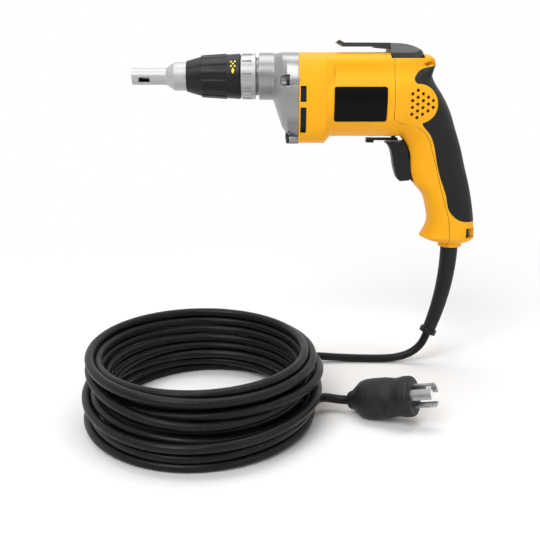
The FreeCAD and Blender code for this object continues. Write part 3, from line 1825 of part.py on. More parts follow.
def all_pieces():
    housing, cover, grip = shells()
    pieces = {
        "motor_housing": housing,
        "handle_cover": cover,
        "handle_grip": grip,
        "name_plates": name_plates(),
        "belt_hook": belt_hook(),
        "belt_hook_screw": belt_hook_screw(),
        "gear_case": gear_case(),
        "gear_case_screws": case_screws(),
        "handle_cover_screws": cover_screws(),
        "bearing_plate": bearing_plate(),
        "fan_baffle": fan_baffle(),
        "nose_retaining_ring": nose_retaining_ring(),
        "detent_ring": detent_ring(),
        "detent_ball": detent_ball(),
        "detent_spring": detent_spring(),
        "nose_sleeve": nose_sleeve(),
        "depth_collar": depth_collar(),
        "nose_locator": nose_locator(),
        "spindle": spindle(),
        "spindle_bushing": spindle_bushing(),
        "bit_holder": bit_holder(),
        "bit_magnet": bit_magnet(),
        "bit_tip": bit_tip(),
        "driven_clutch": driven_clutch(),
        "spring_seat": spring_seat(),
        "clutch_spring": clutch_spring(),
        "output_gear": output_gear(),
        "thrust_washer": thrust_washer(),
        "front_bearing": ball_bearing(
            bearing_start + run_fit, bearing_width, bearing_radius, shaft_radius + run_fit, bearing_race),
        "rear_bearing": ball_bearing(
            rear_bearing_start, rear_bearing_width, rear_bearing_radius, rear_shaft_radius + run_fit,
            bearing_race * rear_bearing_radius / bearing_radius),
        "armature_shaft": armature_shaft(),
        "armature_core": armature_core(),
        "armature_windings": armature_windings(),
        "commutator": commutator(),
        "cooling_fan": cooling_fan(),
        "field_core": field_core(),
        "field_coils": field_coils(),
        "brush_holders": brush_holders(),
        "carbon_brushes": carbon_brushes(),
        "brush_springs": brush_springs(),
        "switch_body": switch_body(),
        "trigger": trigger(),
        "trigger_spring": trigger_spring(),
        "reversing_lever": reversing_lever(),
        "cord_clamp": cord_clamp(),
        "cord_clamp_screws": cord_clamp_screws(),
        "strain_relief": strain_relief(),
    }
    pieces.update(cord_pieces())
    pieces.update(plug_pieces())
    return pieces


def main():
    os.makedirs("parts", exist_ok=True)
    shift = V(-grip_centre_x, 0, grip_centre_drop)
    for name, shape in all_pieces().items():
        shape.translate(shift)
        shape.exportStep(os.path.join("parts", name + ".step"))
        print(name, shape.isValid(), len(shape.Solids), round(shape.Volume, 1))


main()
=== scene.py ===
import json
import math

import bmesh
import bpy
import numpy as np
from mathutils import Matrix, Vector
from mathutils.bvhtree import BVHTree


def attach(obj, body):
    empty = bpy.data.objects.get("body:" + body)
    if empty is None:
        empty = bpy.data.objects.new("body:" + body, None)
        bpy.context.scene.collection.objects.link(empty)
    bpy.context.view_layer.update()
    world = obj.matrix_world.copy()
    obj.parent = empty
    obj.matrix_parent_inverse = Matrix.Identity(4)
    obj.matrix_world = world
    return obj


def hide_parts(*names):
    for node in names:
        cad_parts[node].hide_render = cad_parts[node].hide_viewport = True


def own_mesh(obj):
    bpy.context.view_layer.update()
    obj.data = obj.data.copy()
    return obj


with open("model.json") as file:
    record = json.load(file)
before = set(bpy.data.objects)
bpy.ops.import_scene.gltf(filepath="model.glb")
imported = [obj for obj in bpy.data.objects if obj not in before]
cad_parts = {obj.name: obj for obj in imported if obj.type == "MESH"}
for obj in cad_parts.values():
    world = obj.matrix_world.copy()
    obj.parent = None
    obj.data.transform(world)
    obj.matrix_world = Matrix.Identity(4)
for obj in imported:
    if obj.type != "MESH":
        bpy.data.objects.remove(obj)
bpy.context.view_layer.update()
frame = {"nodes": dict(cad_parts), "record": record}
nodes = frame["nodes"]

MM = 0.001
TOOL_ORIGIN = Vector((-126, 0, 96))
FLOOR_HEIGHT = -163.8 * MM


def at(x, y, z):
    """A point in millimetres from the gear case joint on the spindle axis, as metres in the shared frame."""
    return (Vector((x, y, z)) + TOOL_ORIGIN) * MM


def added(name, data):
    """A new piece in the scene, made of a mesh, a line, a lamp or a camera."""
    piece = bpy.data.objects.new(name, data)
    bpy.context.scene.collection.objects.link(piece)
    return piece


def meshed(name, sheet, finish):
    """A new piece made of the faces of a sheet, with one finish."""
    mesh = bpy.data.meshes.new(name)
    sheet.to_mesh(mesh)
    sheet.free()
    mesh.materials.append(finish)
    return added(name, mesh)


# Shader maths


class Wire:
    """A node's output, on which shader maths is written as plain sums."""

    def __init__(self, finish, socket):
        self.finish = finish
        self.socket = socket

    def maths(self, operation, *values):
        return self.finish.node("Math", {"operation": operation}, dict(enumerate(values)))

    def __add__(self, other):
        return self.maths("ADD", self, other)

    def __radd__(self, other):
        return self.maths("ADD", other, self)

    def __sub__(self, other):
        return self.maths("SUBTRACT", self, other)

    def __rsub__(self, other):
        return self.maths("SUBTRACT", other, self)

    def __mul__(self, other):
        return self.maths("MULTIPLY", self, other)

    def __rmul__(self, other):
        return self.maths("MULTIPLY", other, self)

    def __truediv__(self, other):
        return self.maths("DIVIDE", self, other)

    def __rtruediv__(self, other):
        return self.maths("DIVIDE", other, self)

    def __pow__(self, other):
        return self.maths("POWER", self, other)

    def larger(self, other):
        return self.maths("MAXIMUM", self, other)

    def ramp(self, low, high, start=0.0, end=1.0):
        """Goes smoothly from start to end as the value goes from low to high."""
        settings = {"interpolation_type": "SMOOTHSTEP"}
        values = {"Value": self, "From Min": low, "From Max": high, "To Min": start, "To Max": end}
        return self.finish.node("MapRange", settings, values)


class Finish:
    """A material or a world, and the one way in which its nodes are made."""

    def __init__(self, name, kind=bpy.data.materials):
        self.made = kind.new(name)
        self.made.use_nodes = True
        self.tree = self.made.node_tree
        self.tree.nodes.clear()
        self.place = self.node("TexCoord", out="Object")

    def node(self, kind, settings=None, values=None, out=0):
        made = self.tree.nodes.new("ShaderNode" + kind)
        for key, value in (settings or {}).items():
            setattr(made, key, value)
        for key, value in (values or {}).items():
            if isinstance(value, Wire):
                self.tree.links.new(value.socket, made.inputs[key])
            else:
                made.inputs[key].default_value = value
        return Wire(self, made.outputs[out]) if len(made.outputs) else None

    def noise(self, scale, detail=3.0, roughness=0.5, place=None):
        """Even noise from 0 to 1; scale is in waves to the metre."""
        values = {"Vector": place or self.place, "Scale": scale, "Detail": detail, "Roughness": roughness}
        return self.node("TexNoise", {"noise_dimensions": "3D"}, values)

    def axis(self, which):
        return self.node("SeparateXYZ", None, {0: self.place}, out=which)

    def stretched(self, across):
        """The place scaled by a factor along each axis, for grain with a direction."""
        return self.node("Mapping", None, {"Vector": self.place, "Scale": across})

    def mixed(self, share, first, second):
        """A colour between two others."""
        settings = {"data_type": "RGBA", "clamp_factor": True}
        return self.node("Mix", settings, {"Factor": share, 6: first, 7: second}, out=2)

    def edges(self, radius):
        """How far the surface turns within a radius: near 0 on a flat, near 1 on a sharp edge."""
        true = self.node("NewGeometry", out="True Normal")
        settings = {"operation": "DOT_PRODUCT"}
        dot = self.node("VectorMath", settings, {0: self.eased(radius), 1: true}, out="Value")
        return (1.0 - dot).ramp(0.01, 0.22)

    def crevice_shade(self, reach):
        """Near 1 in a seam or an inside corner narrower than the reach, 0 on an open surface: the mask where
        shade is painted into the colour.
        """
        settings = {"samples": 8, "only_local": False}
        open_share = self.node("AmbientOcclusion", settings, {"Distance": reach}, out="AO")
        return open_share.ramp(0.75, 0.2)

    def eased(self, radius):
        """The normal with sharp edges rounded off by a radius."""
        return self.node("Bevel", {"samples": 6}, {"Radius": radius})

    def bump(self, height, distance, strength=1.0, over=None):
        values = {"Height": height, "Distance": distance, "Strength": strength}
        if over is not None:
            values["Normal"] = over
        return self.node("Bump", None, values)

    def surface(self, **values):
        """The material's shader; the names are its sockets, with _ for a space."""
        sockets = {key.replace("_", " "): value for key, value in values.items()}
        shader = self.node("BsdfPrincipled", None, sockets)
        self.node("OutputMaterial", None, {"Surface": shader})
        return self.made

    def looked_at(self):
        """1 where the camera, a reflection or a clear material looks, 0 where light falls."""
        seen = self.node("LightPath", out="Is Camera Ray")
        glossy = self.node("LightPath", out="Is Glossy Ray")
        clear = self.node("LightPath", out="Is Transmission Ray")
        return seen.larger(glossy).larger(clear)


def tone(red, green, blue):
    return (red, green, blue, 1.0)


def grey(level):
    return (level, level, level, 1.0)


# Finishes


def moulded_yellow():
    """Satin nylon: slightly paler on its edges, partly from wear and partly as a painted highlight, darkened
    in its seams and inside corners by painted shade, with a fine moulded grain.
    """
    finish = Finish("moulded_yellow")
    cloud = finish.noise(38.0, 2.0)
    grain = finish.noise(2600.0, 2.0)
    edge_wear_and_highlight = finish.edges(0.0012)
    body = finish.mixed(cloud, tone(0.93, 0.405, 0.006), tone(0.97, 0.445, 0.009))
    # Edges paled towards a light yellow: partly wear, partly a painted highlight.
    wear_and_highlight_tone = finish.mixed(edge_wear_and_highlight * 0.4, body, tone(1.0, 0.56, 0.05))
    # Seams and inside corners darkened towards deep orange: painted shade.
    colour = finish.mixed(finish.crevice_shade(0.0025) * 0.75, wear_and_highlight_tone, tone(0.16, 0.05, 0.002))
    rough = cloud.ramp(0.3, 0.7, 0.36, 0.43) + grain * 0.06
    skin = finish.bump(grain, 0.00004, 0.5, finish.eased(0.0007))
    return finish.surface(Base_Color=colour, Roughness=rough, Normal=skin, Specular_IOR_Level=0.22)


def soft_black(name, level, roughness, gloss, grain_scale, grain_depth, easing):
    """Black rubber and plastic: a fine moulded grain, with duller and shinier patches, and edges paled
    partly by wear and partly as a painted highlight.
    """
    finish = Finish(name)
    patch = finish.noise(70.0, 3.0)
    grain = finish.noise(grain_scale, 3.0, 0.6)
    edge_wear_and_highlight = finish.edges(easing * 1.6)
    body = finish.mixed(patch, grey(level * 0.8), grey(level * 1.2))
    # Edges paled to a lighter grey: partly wear, partly a painted highlight.
    colour = finish.mixed(edge_wear_and_highlight * 0.5, body, grey(level * 2.6))
    rough = patch.ramp(0.3, 0.7, roughness - 0.05, roughness + 0.06) - edge_wear_and_highlight * 0.08
    skin = finish.bump(grain, grain_depth, 0.6, finish.eased(easing))
    return finish.surface(Base_Color=colour, Roughness=rough, Normal=skin, Specular_IOR_Level=gloss)


def cast_metal(name, level, roughness):
    """A die casting: a fine sandy skin, slightly brighter on its edges, partly from wear and partly as a
    painted highlight, and darkened in its crevices by painted shade.
    """
    finish = Finish(name)
    sand = finish.noise(1900.0, 4.0, 0.65)
    cloud = finish.noise(55.0, 3.0)
    edge_wear_and_highlight = finish.edges(0.0011)
    body = finish.mixed(cloud, grey(level * 0.92), grey(level * 1.06))
    # Edges brightened: partly wear, partly a painted highlight.
    bright = finish.mixed(edge_wear_and_highlight * 0.8, body, grey(min(1.0, level * 1.9)))
    # Crevices darkened: painted shade.
    colour = finish.mixed(finish.crevice_shade(0.004) * 0.7, bright, grey(level * 0.2))
    rough = cloud.ramp(0.3, 0.7, roughness - 0.04, roughness + 0.05) - edge_wear_and_highlight * 0.12
    skin = finish.bump(sand, 0.00006, 0.7, finish.eased(0.0012))
    return finish.surface(Base_Color=colour, Roughness=rough, Normal=skin, Metallic=0.62)


def turned_metal(name, colour_low, colour_high, roughness, metallic):
    """Metal turned on a lathe about the X axis: fine rings round it, with a slight haze, edges paled partly
    by wear and partly as a painted highlight, and crevices darkened by painted shade.
    """
    finish = Finish(name)
    rings = finish.noise(1.0, 3.0, 0.6, finish.stretched((5200.0, 60.0, 60.0)))
    haze = finish.noise(90.0, 3.0)
    edge_wear_and_highlight = finish.edges(0.0007)
    body = finish.mixed(haze, colour_low, colour_high)
    # Edges paled towards light grey: partly wear, partly a painted highlight.
    bright = finish.mixed(edge_wear_and_highlight * 0.5, body, grey(0.8))
    # Crevices darkened: painted shade.
    colour = finish.mixed(finish.crevice_shade(0.003) * 0.7, bright, grey(0.06))
    rough = haze.ramp(0.3, 0.7, roughness - 0.05, roughness + 0.05) + rings * 0.06
    skin = finish.bump(rings, 0.00002, 0.5, finish.eased(0.0005))
    return finish.surface(Base_Color=colour, Roughness=rough, Normal=skin, Metallic=metallic)


def stacked_sheet():
    """The motor's iron: thin sheets pressed together along X."""
    finish = Finish("stacked_sheet")
    along = finish.axis("X") * 2000.0
    sheet = along.maths("FRACT", along)
    line = sheet.ramp(0.0, 0.2) * sheet.ramp(1.0, 0.8)
    patch = finish.noise(120.0, 3.0)
    colour = finish.mixed(line, grey(0.10), grey(0.32))
    rough = patch.ramp(0.3, 0.7, 0.40, 0.55)
    skin = finish.bump(line, 0.00005, 0.8)
    return finish.surface(Base_Color=colour, Roughness=rough, Normal=skin, Metallic=0.9)


def copper_wire():
    """Enamelled winding wire, laid in close rows."""
    finish = Finish("copper_wire")
    rows = finish.noise(1.0, 2.0, 0.5, finish.stretched((260.0, 2400.0, 2400.0)))
    patch = finish.noise(160.0, 3.0)
    colour = finish.mixed(patch, tone(0.52, 0.19, 0.07), tone(0.78, 0.34, 0.14))
    rough = rows.ramp(0.3, 0.7, 0.25, 0.42)
    skin = finish.bump(rows, 0.0002, 0.8)
    return finish.surface(Base_Color=colour, Roughness=rough, Normal=skin, Metallic=0.9)


def cord_jacket():
    """The cord's rubber jacket: faint dust, scuffs and a slightly pitted skin."""
    finish = Finish("cord_jacket")
    dust = finish.noise(210.0, 4.0, 0.6)
    scuff = finish.noise(36.0, 2.0)
    pits = finish.noise(1500.0, 3.0, 0.6)
    colour = finish.mixed(dust.ramp(0.45, 0.8), grey(0.004), grey(0.010))
    rough = scuff.ramp(0.3, 0.7, 0.30, 0.42) + dust * 0.08
    skin = finish.bump(pits * 0.5 + dust * 0.5, 0.00022, 0.6)
    return finish.surface(Base_Color=colour, Roughness=rough, Normal=skin, Specular_IOR_Level=0.2)


def bare_plate():
    """A smooth black plate with nothing on it, with a faint satin grain and edges paled partly by wear and
    partly as a painted highlight.
    """
    finish = Finish("bare_plate")
    grain = finish.noise(1.0, 2.0, 0.5, finish.stretched((300.0, 300.0, 2600.0)))
    patch = finish.noise(45.0, 2.0)
    edge_wear_and_highlight = finish.edges(0.0005)
    # Edges paled to a lighter grey: partly wear, partly a painted highlight.
    colour = finish.mixed(edge_wear_and_highlight * 0.6, grey(0.0035), grey(0.03))
    rough = patch.ramp(0.3, 0.7, 0.26, 0.34) + grain * 0.04
    skin = finish.bump(grain, 0.00001, 0.5, finish.eased(0.0004))
    return finish.surface(Base_Color=colour, Roughness=rough, Normal=skin, Specular_IOR_Level=0.08)


def marking_yellow():
    """The plain marks printed on the collar."""
    finish = Finish("marking_yellow")
    speck = finish.noise(2200.0, 2.0)
    colour = finish.mixed(speck, tone(0.85, 0.66, 0.01), tone(0.95, 0.80, 0.03))
    rough = speck.ramp(0.3, 0.7, 0.42, 0.55)
    return finish.surface(Base_Color=colour, Roughness=rough)


finish_for_slot = {
    "housing_yellow": moulded_yellow(),
    "grip_rubber": soft_black("grip_rubber", 0.010, 0.50, 0.24, 1500.0, 0.00009, 0.0009),
    "black_plastic": soft_black("black_plastic", 0.010, 0.42, 0.24, 1900.0, 0.00007, 0.0006),
    "plate_black": bare_plate(),
    "hook_charcoal": soft_black("hook_charcoal", 0.034, 0.42, 0.4, 2300.0, 0.00004, 0.0006),
    "cast_aluminium": cast_metal("cast_aluminium", 0.31, 0.34),
    "satin_steel": turned_metal("satin_steel", grey(0.40), grey(0.50), 0.42, 0.45),
    "ring_grey": turned_metal("ring_grey", grey(0.38), grey(0.46), 0.36, 0.6),
    "screw_black": soft_black("screw_black", 0.012, 0.36, 0.4, 2400.0, 0.00003, 0.0003),
    "bronze": turned_metal("bronze", tone(0.46, 0.29, 0.11), tone(0.6, 0.4, 0.17), 0.42, 0.9),
    "copper": copper_wire(),
    "lamination": stacked_sheet(),
    "carbon": soft_black("carbon", 0.01, 0.6, 0.3, 1300.0, 0.0001, 0.0003),
    "cord_rubber": cord_jacket(),
    "plug_rubber": soft_black("plug_rubber", 0.010, 0.52, 0.28, 1300.0, 0.00010, 0.0007),
    "blade_steel": turned_metal("blade_steel", grey(0.30), grey(0.40), 0.28, 0.85),
}

for part in frame["record"]["subparts"]:
    shell = nodes[part["node"]]
    shell.data.materials.clear()
    shell.data.materials.append(finish_for_slot[part["material_slot"]])


# Each spring gets a mesh of its own

for spring, joint, fixed_end, length, travel in (
    ("clutch_spring", "clutch_press", (-12.05, 0.0, 0.0), 8.35, 3.0),
    ("trigger_spring", "trigger_pull", (110.86, 0.0, -66.0), 13.86, 6.0),
):
    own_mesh(nodes[spring])


# Marks printed on the depth collar, and black sheets of painted shade behind the openings

MARK_X = -54.6
MARK_LIFT = 0.06
MARK_COLUMNS = 6
MARK_ROWS = 8
COLLAR_CLEAR = 40.0
LOZENGE = (16.5, 8.5, 1.35)
LOZENGE_TIP = 0.04
DASHES = ((29.0, -56.2), (29.0, -53.0), (36.0, -54.6), (42.5, -56.2), (42.5, -53.0))
DASH_SIZE = (2.2, 0.75)
# The black half sleeve of painted shade inside the locator's bore
SHADE_SLEEVE_FRONT = -136.0
SHADE_SLEEVE_BACK = -117.5
SHADE_SLEEVE_INNER = 5.35
SHADE_SLEEVE_OUTER = 5.53
SHADE_SLEEVE_FACES = 18
# The black sheets of painted shade behind the housing's outlet slots
VENT_SHADE_FRONT = 0.6
VENT_SHADE_BACK = 7.2
VENT_SHADE_TOP = 5.0
VENT_SHADE_BOTTOM = 46.5
VENT_SHADE_ROWS = 14
VENT_SHADE_OUTER = 0.5
VENT_SHADE_INNER = 0.9


def surface_of(node):
    """The node's mesh as a search tree in the shared frame."""
    shell = nodes[node]
    points = [shell.matrix_world @ corner.co for corner in shell.data.vertices]
    return BVHTree.FromPolygons(points, [face.vertices for face in shell.data.polygons])


def mark(sheet, collar, x, rise, reach, width_at):
    """A thin patch on the near side of the collar, centred at an angle above the side."""
    corners = []
    for j in range(MARK_ROWS + 1):
        along = 2 * j / MARK_ROWS - 1
        turn = math.radians(rise + reach * along)
        out = Vector((0, -math.cos(turn), math.sin(turn)))
        for i in range(MARK_COLUMNS + 1):
            side = width_at(along) * (2 * i / MARK_COLUMNS - 1)
            axis = at(x + side, 0, 0)
            hit = collar.ray_cast(axis + out * COLLAR_CLEAR * MM, -out)[0]
            corners.append(sheet.verts.new(hit + out * MARK_LIFT * MM))
    for j in range(MARK_ROWS):
        for i in range(MARK_COLUMNS):
            first = j * (MARK_COLUMNS + 1) + i
            second = first + MARK_COLUMNS + 1
            sheet.faces.new([corners[n] for n in (first, first + 1, second + 1, second)])


def collar_marks():
    collar = surface_of("depth_collar")
    sheet = bmesh.new()
    rise, reach, half_width = LOZENGE
    mark(sheet, collar, MARK_X, rise, reach, lambda along: half_width * max(LOZENGE_TIP, 1 - abs(along)))
    for dash_rise, dash_x in DASHES:
        mark(sheet, collar, dash_x, dash_rise, DASH_SIZE[0], lambda along: DASH_SIZE[1])
    bmesh.ops.recalc_face_normals(sheet, faces=sheet.faces)
    piece = meshed("collar_marks", sheet, marking_yellow())
    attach(piece, "collar")


def locator_shade_sleeve():
    """A black half sleeve inside the locator, behind its window: painted shade, a dark sheet standing where
    the bore is only in shade.
    """
    sheet = bmesh.new()
    section = (
        (SHADE_SLEEVE_FRONT, SHADE_SLEEVE_INNER),
        (SHADE_SLEEVE_FRONT, SHADE_SLEEVE_OUTER),
        (SHADE_SLEEVE_BACK, SHADE_SLEEVE_OUTER),
        (SHADE_SLEEVE_BACK, SHADE_SLEEVE_INNER),
    )
    rings = []
    for x, radius in section:
        ring = []
        for i in range(SHADE_SLEEVE_FACES + 1):
            turn = math.pi * (i / SHADE_SLEEVE_FACES - 0.5)
            ring.append(sheet.verts.new(at(x, radius * math.cos(turn), radius * math.sin(turn))))
        rings.append(ring)
    for first, second in zip(rings, rings[1:] + rings[:1]):
        for i in range(SHADE_SLEEVE_FACES):
            sheet.faces.new((first[i], first[i + 1], second[i + 1], second[i]))
    for i in (0, SHADE_SLEEVE_FACES):
        sheet.faces.new([ring[i] for ring in rings])
    bmesh.ops.recalc_face_normals(sheet, faces=sheet.faces)
    piece = meshed("locator_shade_sleeve", sheet, finish_for_slot["screw_black"])
    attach(piece, "locator")


def vent_shade_sheets():
    """Black sheets inside the housing, close behind its outlet slots on both sides: painted shade, standing
    where the inside is only in shade.
    """
    housing = surface_of("motor_housing")
    sheet = bmesh.new()
    section = (
        (VENT_SHADE_FRONT, VENT_SHADE_OUTER),
        (VENT_SHADE_BACK, VENT_SHADE_OUTER),
        (VENT_SHADE_BACK, VENT_SHADE_INNER),
        (VENT_SHADE_FRONT, VENT_SHADE_INNER),
    )
    for side in (-1, 1):
        strips = []
        for j in range(VENT_SHADE_ROWS + 1):
            drop = VENT_SHADE_TOP + (VENT_SHADE_BOTTOM - VENT_SHADE_TOP) * j / VENT_SHADE_ROWS
            reach = abs(housing.ray_cast(at(VENT_SHADE_BACK, 0, -drop), Vector((0, side, 0)))[0].y) / MM
            strip = []
            for x, inset in section:
                strip.append(sheet.verts.new(at(x, side * (reach - inset), -drop)))
            strips.append(strip)
        for first, second in zip(strips, strips[1:]):
            for i in range(len(section)):
                sheet.faces.new((first[i - 1], first[i], second[i], second[i - 1]))
        sheet.faces.new(strips[0])
        sheet.faces.new(strips[-1])
    bmesh.ops.recalc_face_normals(sheet, faces=sheet.faces)
    piece = meshed("vent_shade_sheets", sheet, finish_for_slot["carbon"])
    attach(piece, "housing")


collar_marks()
locator_shade_sleeve()
vent_shade_sheets()


# The cord: one line from the strain relief, round the coil and into the plug

CORD_DIAMETER = 7.2
RELIEF_END = (121.3, 0.0, 30.1)
LEAD_POINTS = (
    (126.0, 0.0, 42.6),
    (121.3, 0.0, 30.1),
    (116.6, 0.0, 18.0),
    (106.2, 0.2, 8.7),
    (90.8, 0.6, 4.2),
    (69.0, 1.4, 3.6),
    (44.0, 1.8, 4.2),
    (18.0, 0.4, 6.6),
    (-8.0, -3.4, 8.8),
    (-31.0, -8.0, 10.4),
    (-55.0, -10.9, 11.0),
)
TAIL_POINTS = (
    (10.0, -118.6, 12.8),
    (13.8, -111.2, 13.2),
    (20.6, -106.1, 12.2),
    (29.6, -104.4, 9.7),
    (38.2, -107.1, 10.1),
    (46.3, -111.4, 12.4),
)
COIL_CENTRE = (-76.3, -107.6)
OUTER_RADIUS = 86.0
LAYER_LOW = 11.0
LAYER_HIGH = 6.4
DEPTH_SHARE = 1.11
SWAY = 3.0
SWAY_START = math.radians(150)
SWAY_ANGLE = math.radians(63)
ROW_PITCH = 7.45
COIL_ROWS = 8
INNER_RAISE = 0.25
FLAT_ROWS = 3
START_ANGLE = math.radians(90)
TURNS_DOWN = 1
TURNS = 13.722
SPARE_TURN = 0.17

# How loose the turns are, and the larger swings: middle, width, way out and way up
LOOSE_SEED = 7
LOOSE_STEP = 0.41
LOOSE_OUT = 4.2
LOOSE_UP = 3.6
HELD_END = 0.3
SWINGS = (
    (9.54, 0.27, 5.5, -11.0),
    (11.44, 0.30, 6.0, -9.5),
    (10.74, 0.24, 4.5, 5.5),
    (12.34, 0.22, 3.5, 6.5),
    (3.02, 0.24, -4.5, 4.0),
    (13.4, 0.3, 4.0, -4.0),
    (0.55, 0.3, -2.0, 0.0),
)
POINTS_PER_TURN = 24

# How the turns settle against one another
CLEAR = 7.45
SETTLING_ROUNDS = 500
SMOOTHING = 0.2
PUSHING = 0.4
RETURNING = 0.012
SINKING = 0.012
END_SLACK = 0.02
OUT_OF_REACH = 1e4
LEAST_GAP = 1e-6


def over_floor(x, y, height):
    return Vector(((x + TOOL_ORIGIN.x) * MM, y * MM, FLOOR_HEIGHT + height * MM))


def neat_coil(turn):
    """Radius and height of the neat coil: down the outside, up the inside and down the outside again."""
    top = TURNS_DOWN + COIL_ROWS - 1
    row = np.where(turn < top, np.abs(turn - TURNS_DOWN), COIL_ROWS - 1 - (turn - top))

    def crossing(middle):
        return 0.5 - 0.5 * np.cos(np.pi * np.clip((turn - middle) * 2 + 0.5, 0, 1))

    inward = crossing(TURNS_DOWN) - crossing(top)
    angle = START_ANGLE + turn * math.tau
    sway = SWAY_START + SWAY_ANGLE * row
    low = 1 - row / (COIL_ROWS - 1)
    aside = SWAY * (np.cos(sway) * np.cos(angle) + np.sin(sway) * np.sin(angle) / DEPTH_SHARE)
    radius = OUTER_RADIUS - (LAYER_HIGH + (LAYER_LOW - LAYER_HIGH) * low) * inward + aside
    raised = INNER_RAISE * (1 - np.sin(angle)) * inward * np.clip(row / FLAT_ROWS, 0, 1)
    return radius, CORD_DIAMETER / 2 + (row + raised) * ROW_PITCH


def loosened(turn, radius, height):
    """The same turns a little uneven, as thrown by hand: each one swings in, out, up and down by itself."""
    draw = np.random.default_rng(LOOSE_SEED)
    knots = np.arange(0, TURNS + 1.0, LOOSE_STEP)
    out = np.interp(turn, knots, draw.uniform(-LOOSE_OUT, LOOSE_OUT, len(knots)))
    lift = np.interp(turn, knots, draw.uniform(-LOOSE_UP, LOOSE_UP, len(knots)))
    for middle, width, swing, rise in SWINGS:
        share = 0.5 + 0.5 * np.cos(np.pi * np.clip((turn - middle) / width, -1, 1))
        out += swing * share
        lift += rise * share
    held = np.clip(np.minimum(turn, TURNS - turn) / HELD_END, 0, 1)
    held = held * held * (3 - 2 * held)
    return radius + out * held, height + lift * held, held


def settled(turn, radius, height, held):
    """Turns that lie in one another are pushed apart, and the line is kept smooth, as the coil settles."""
    count = len(turn)
    rows = -(-count // POINTS_PER_TURN)
    spare = rows * POINTS_PER_TURN - count
    start = np.stack([radius, height], 1)
    place = start.copy()
    for _ in range(SETTLING_ROUNDS):
        smooth = place.copy()
        smooth[1:-1] = 0.25 * place[:-2] + 0.5 * place[1:-1] + 0.25 * place[2:]
        place += (smooth - place) * SMOOTHING
        padded = np.concatenate([place, np.full((spare, 2), OUT_OF_REACH)])
        padded = padded.reshape(rows, POINTS_PER_TURN, 2)
        apart = padded[:, None] - padded[None]
        gap = np.linalg.norm(apart, axis=-1)
        short = np.clip(CLEAR - gap, 0, None)
        short[np.arange(rows), np.arange(rows)] = 0
        push = (apart / np.maximum(gap, LEAST_GAP)[..., None] * short[..., None]).sum(1) * PUSHING
        place += push.reshape(-1, 2)[:count]
        place += (start - place) * RETURNING
        place[:, 1] = np.maximum(place[:, 1] - SINKING, CORD_DIAMETER / 2)
        place = start + (place - start) * np.maximum(held, END_SLACK)[:, None]
    return place[:, 0], place[:, 1]


def cord_line():
    turn = np.arange(0, TURNS + SPARE_TURN, 1 / POINTS_PER_TURN)
    radius, height, held = loosened(turn, *neat_coil(turn))
    radius, height = settled(turn, radius, height, held)
    kept = np.count_nonzero(turn < TURNS)
    turn, radius, height = turn[:kept], radius[:kept], height[:kept]
    reach = radius / math.cos(math.pi / POINTS_PER_TURN)
    angle = START_ANGLE + turn * math.tau
    x = COIL_CENTRE[0] + reach * np.cos(angle)
    y = COIL_CENTRE[1] + DEPTH_SHARE * reach * np.sin(angle)
    return [*LEAD_POINTS, *zip(x.tolist(), y.tolist(), height.tolist()), *TAIL_POINTS]


def cord():
    points = cord_line()
    line = bpy.data.curves.new("cord", "CURVE")
    line.dimensions = "3D"
    spline = line.splines.new("NURBS")
    spline.points.add(len(points) - 1)
    for control, place in zip(spline.points, points):
        control.co = (*over_floor(*place), 1.0)
    spline.order_u = 3
    spline.use_endpoint_u = True
    spline.resolution_u = 5
    line.bevel_depth = CORD_DIAMETER / 2 * MM
    line.bevel_resolution = 5
    line.use_fill_caps = True
    line.materials.append(finish_for_slot["cord_rubber"])
    piece = added("cord", line)
    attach(piece, "housing")
    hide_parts("cord_lead", "cord_coil", "cord_tail")
    over_floor(*RELIEF_END)


cord()


# Floor, light and camera

CAMERA_PLACE = at(-23.8, -704.0, 18.24)
CAMERA_PITCH = math.radians(15)
CAMERA_LENS = 53.67
SENSOR = 36.0
FLOOR_REACH = 6.0
FLOOR_SQUARES = 8
FLOOR_CLEAR = 0.0002
LAMP_AIM = Vector((-0.1, 0, 0))


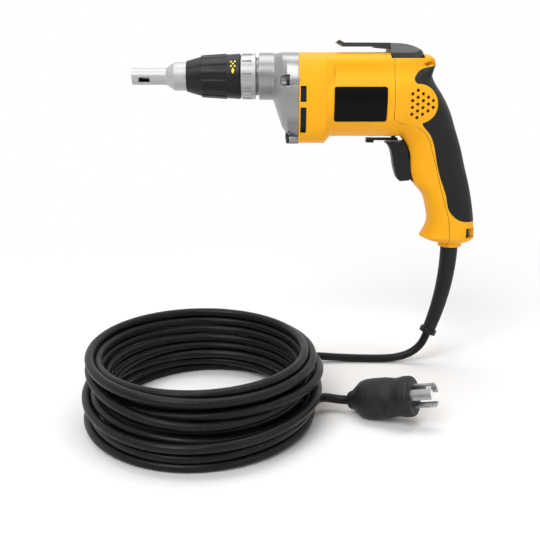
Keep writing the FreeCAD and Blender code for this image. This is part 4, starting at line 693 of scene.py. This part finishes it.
def floor():
    finish = Finish("pale_floor")
    x = finish.axis("X") + 0.12
    y = finish.axis("Y") + 0.05
    far = (x * x + y * y) ** 0.5
    cloud = finish.noise(3.0, 2.0)
    paper = finish.mixed(cloud, grey(0.94), grey(0.96))
    dull = {"Base Color": paper, "Roughness": 0.9, "Specular IOR Level": 0.1}
    diffuse = finish.node("BsdfPrincipled", None, dull)
    white = finish.node("Emission", None, {"Color": grey(1.0), "Strength": 1.0})
    share = far.ramp(0.30, 0.75) * finish.looked_at()
    mixed = finish.node("MixShader", None, {0: share, 1: diffuse, 2: white})
    finish.node("OutputMaterial", None, {"Surface": mixed})
    sheet = bmesh.new()
    bmesh.ops.create_grid(sheet, x_segments=FLOOR_SQUARES, y_segments=FLOOR_SQUARES, size=FLOOR_REACH)
    piece = meshed("floor", sheet, finish.made)
    piece.location = (0, 0, FLOOR_HEIGHT - FLOOR_CLEAR)


def lamp(name, place, width, height, watts):
    data = bpy.data.lights.new(name, "AREA")
    data.shape = "RECTANGLE"
    data.size = width
    data.size_y = height
    data.energy = watts
    piece = added(name, data)
    piece.location = place
    piece.rotation_euler = (LAMP_AIM - Vector(place)).to_track_quat("-Z", "Y").to_euler()


def studio():
    finish = Finish("studio", bpy.data.worlds)
    soft = finish.node("Background", None, {"Color": grey(1.0), "Strength": 0.24})
    white = finish.node("Background", None, {"Color": grey(1.0), "Strength": 1.0})
    shade = finish.node("Background", None, {"Color": grey(1.0), "Strength": 0.4})
    heading = finish.node("TexCoord", out="Generated")
    near_side = finish.node("SeparateXYZ", None, {0: heading}, out="Y").ramp(0.1, -0.8)
    glossy = finish.node("LightPath", out="Is Glossy Ray")
    shown = finish.node("MixShader", None, {0: near_side * glossy, 1: white, 2: shade})
    mixed = finish.node("MixShader", None, {0: finish.looked_at(), 1: soft, 2: shown})
    finish.node("OutputWorld", None, {"Surface": mixed})
    bpy.context.scene.world = finish.made
    bpy.context.scene.view_settings.view_transform = "Standard"
    lamp("key", (-1.1, -2.0, 1.9), width=1.5, height=1.5, watts=52)
    lamp("fill", (1.9, -1.9, 0.9), width=1.6, height=2.0, watts=14)
    lamp("over", (-0.1, 0.3, 2.2), width=2.4, height=1.7, watts=36)


def camera():
    data = bpy.data.cameras.new("camera")
    data.lens = CAMERA_LENS
    data.sensor_width = SENSOR
    piece = added("camera", data)
    piece.location = CAMERA_PLACE
    piece.rotation_euler = (math.radians(90) - CAMERA_PITCH, 0, 0)
    bpy.context.scene.camera = piece


floor()
studio()
camera()
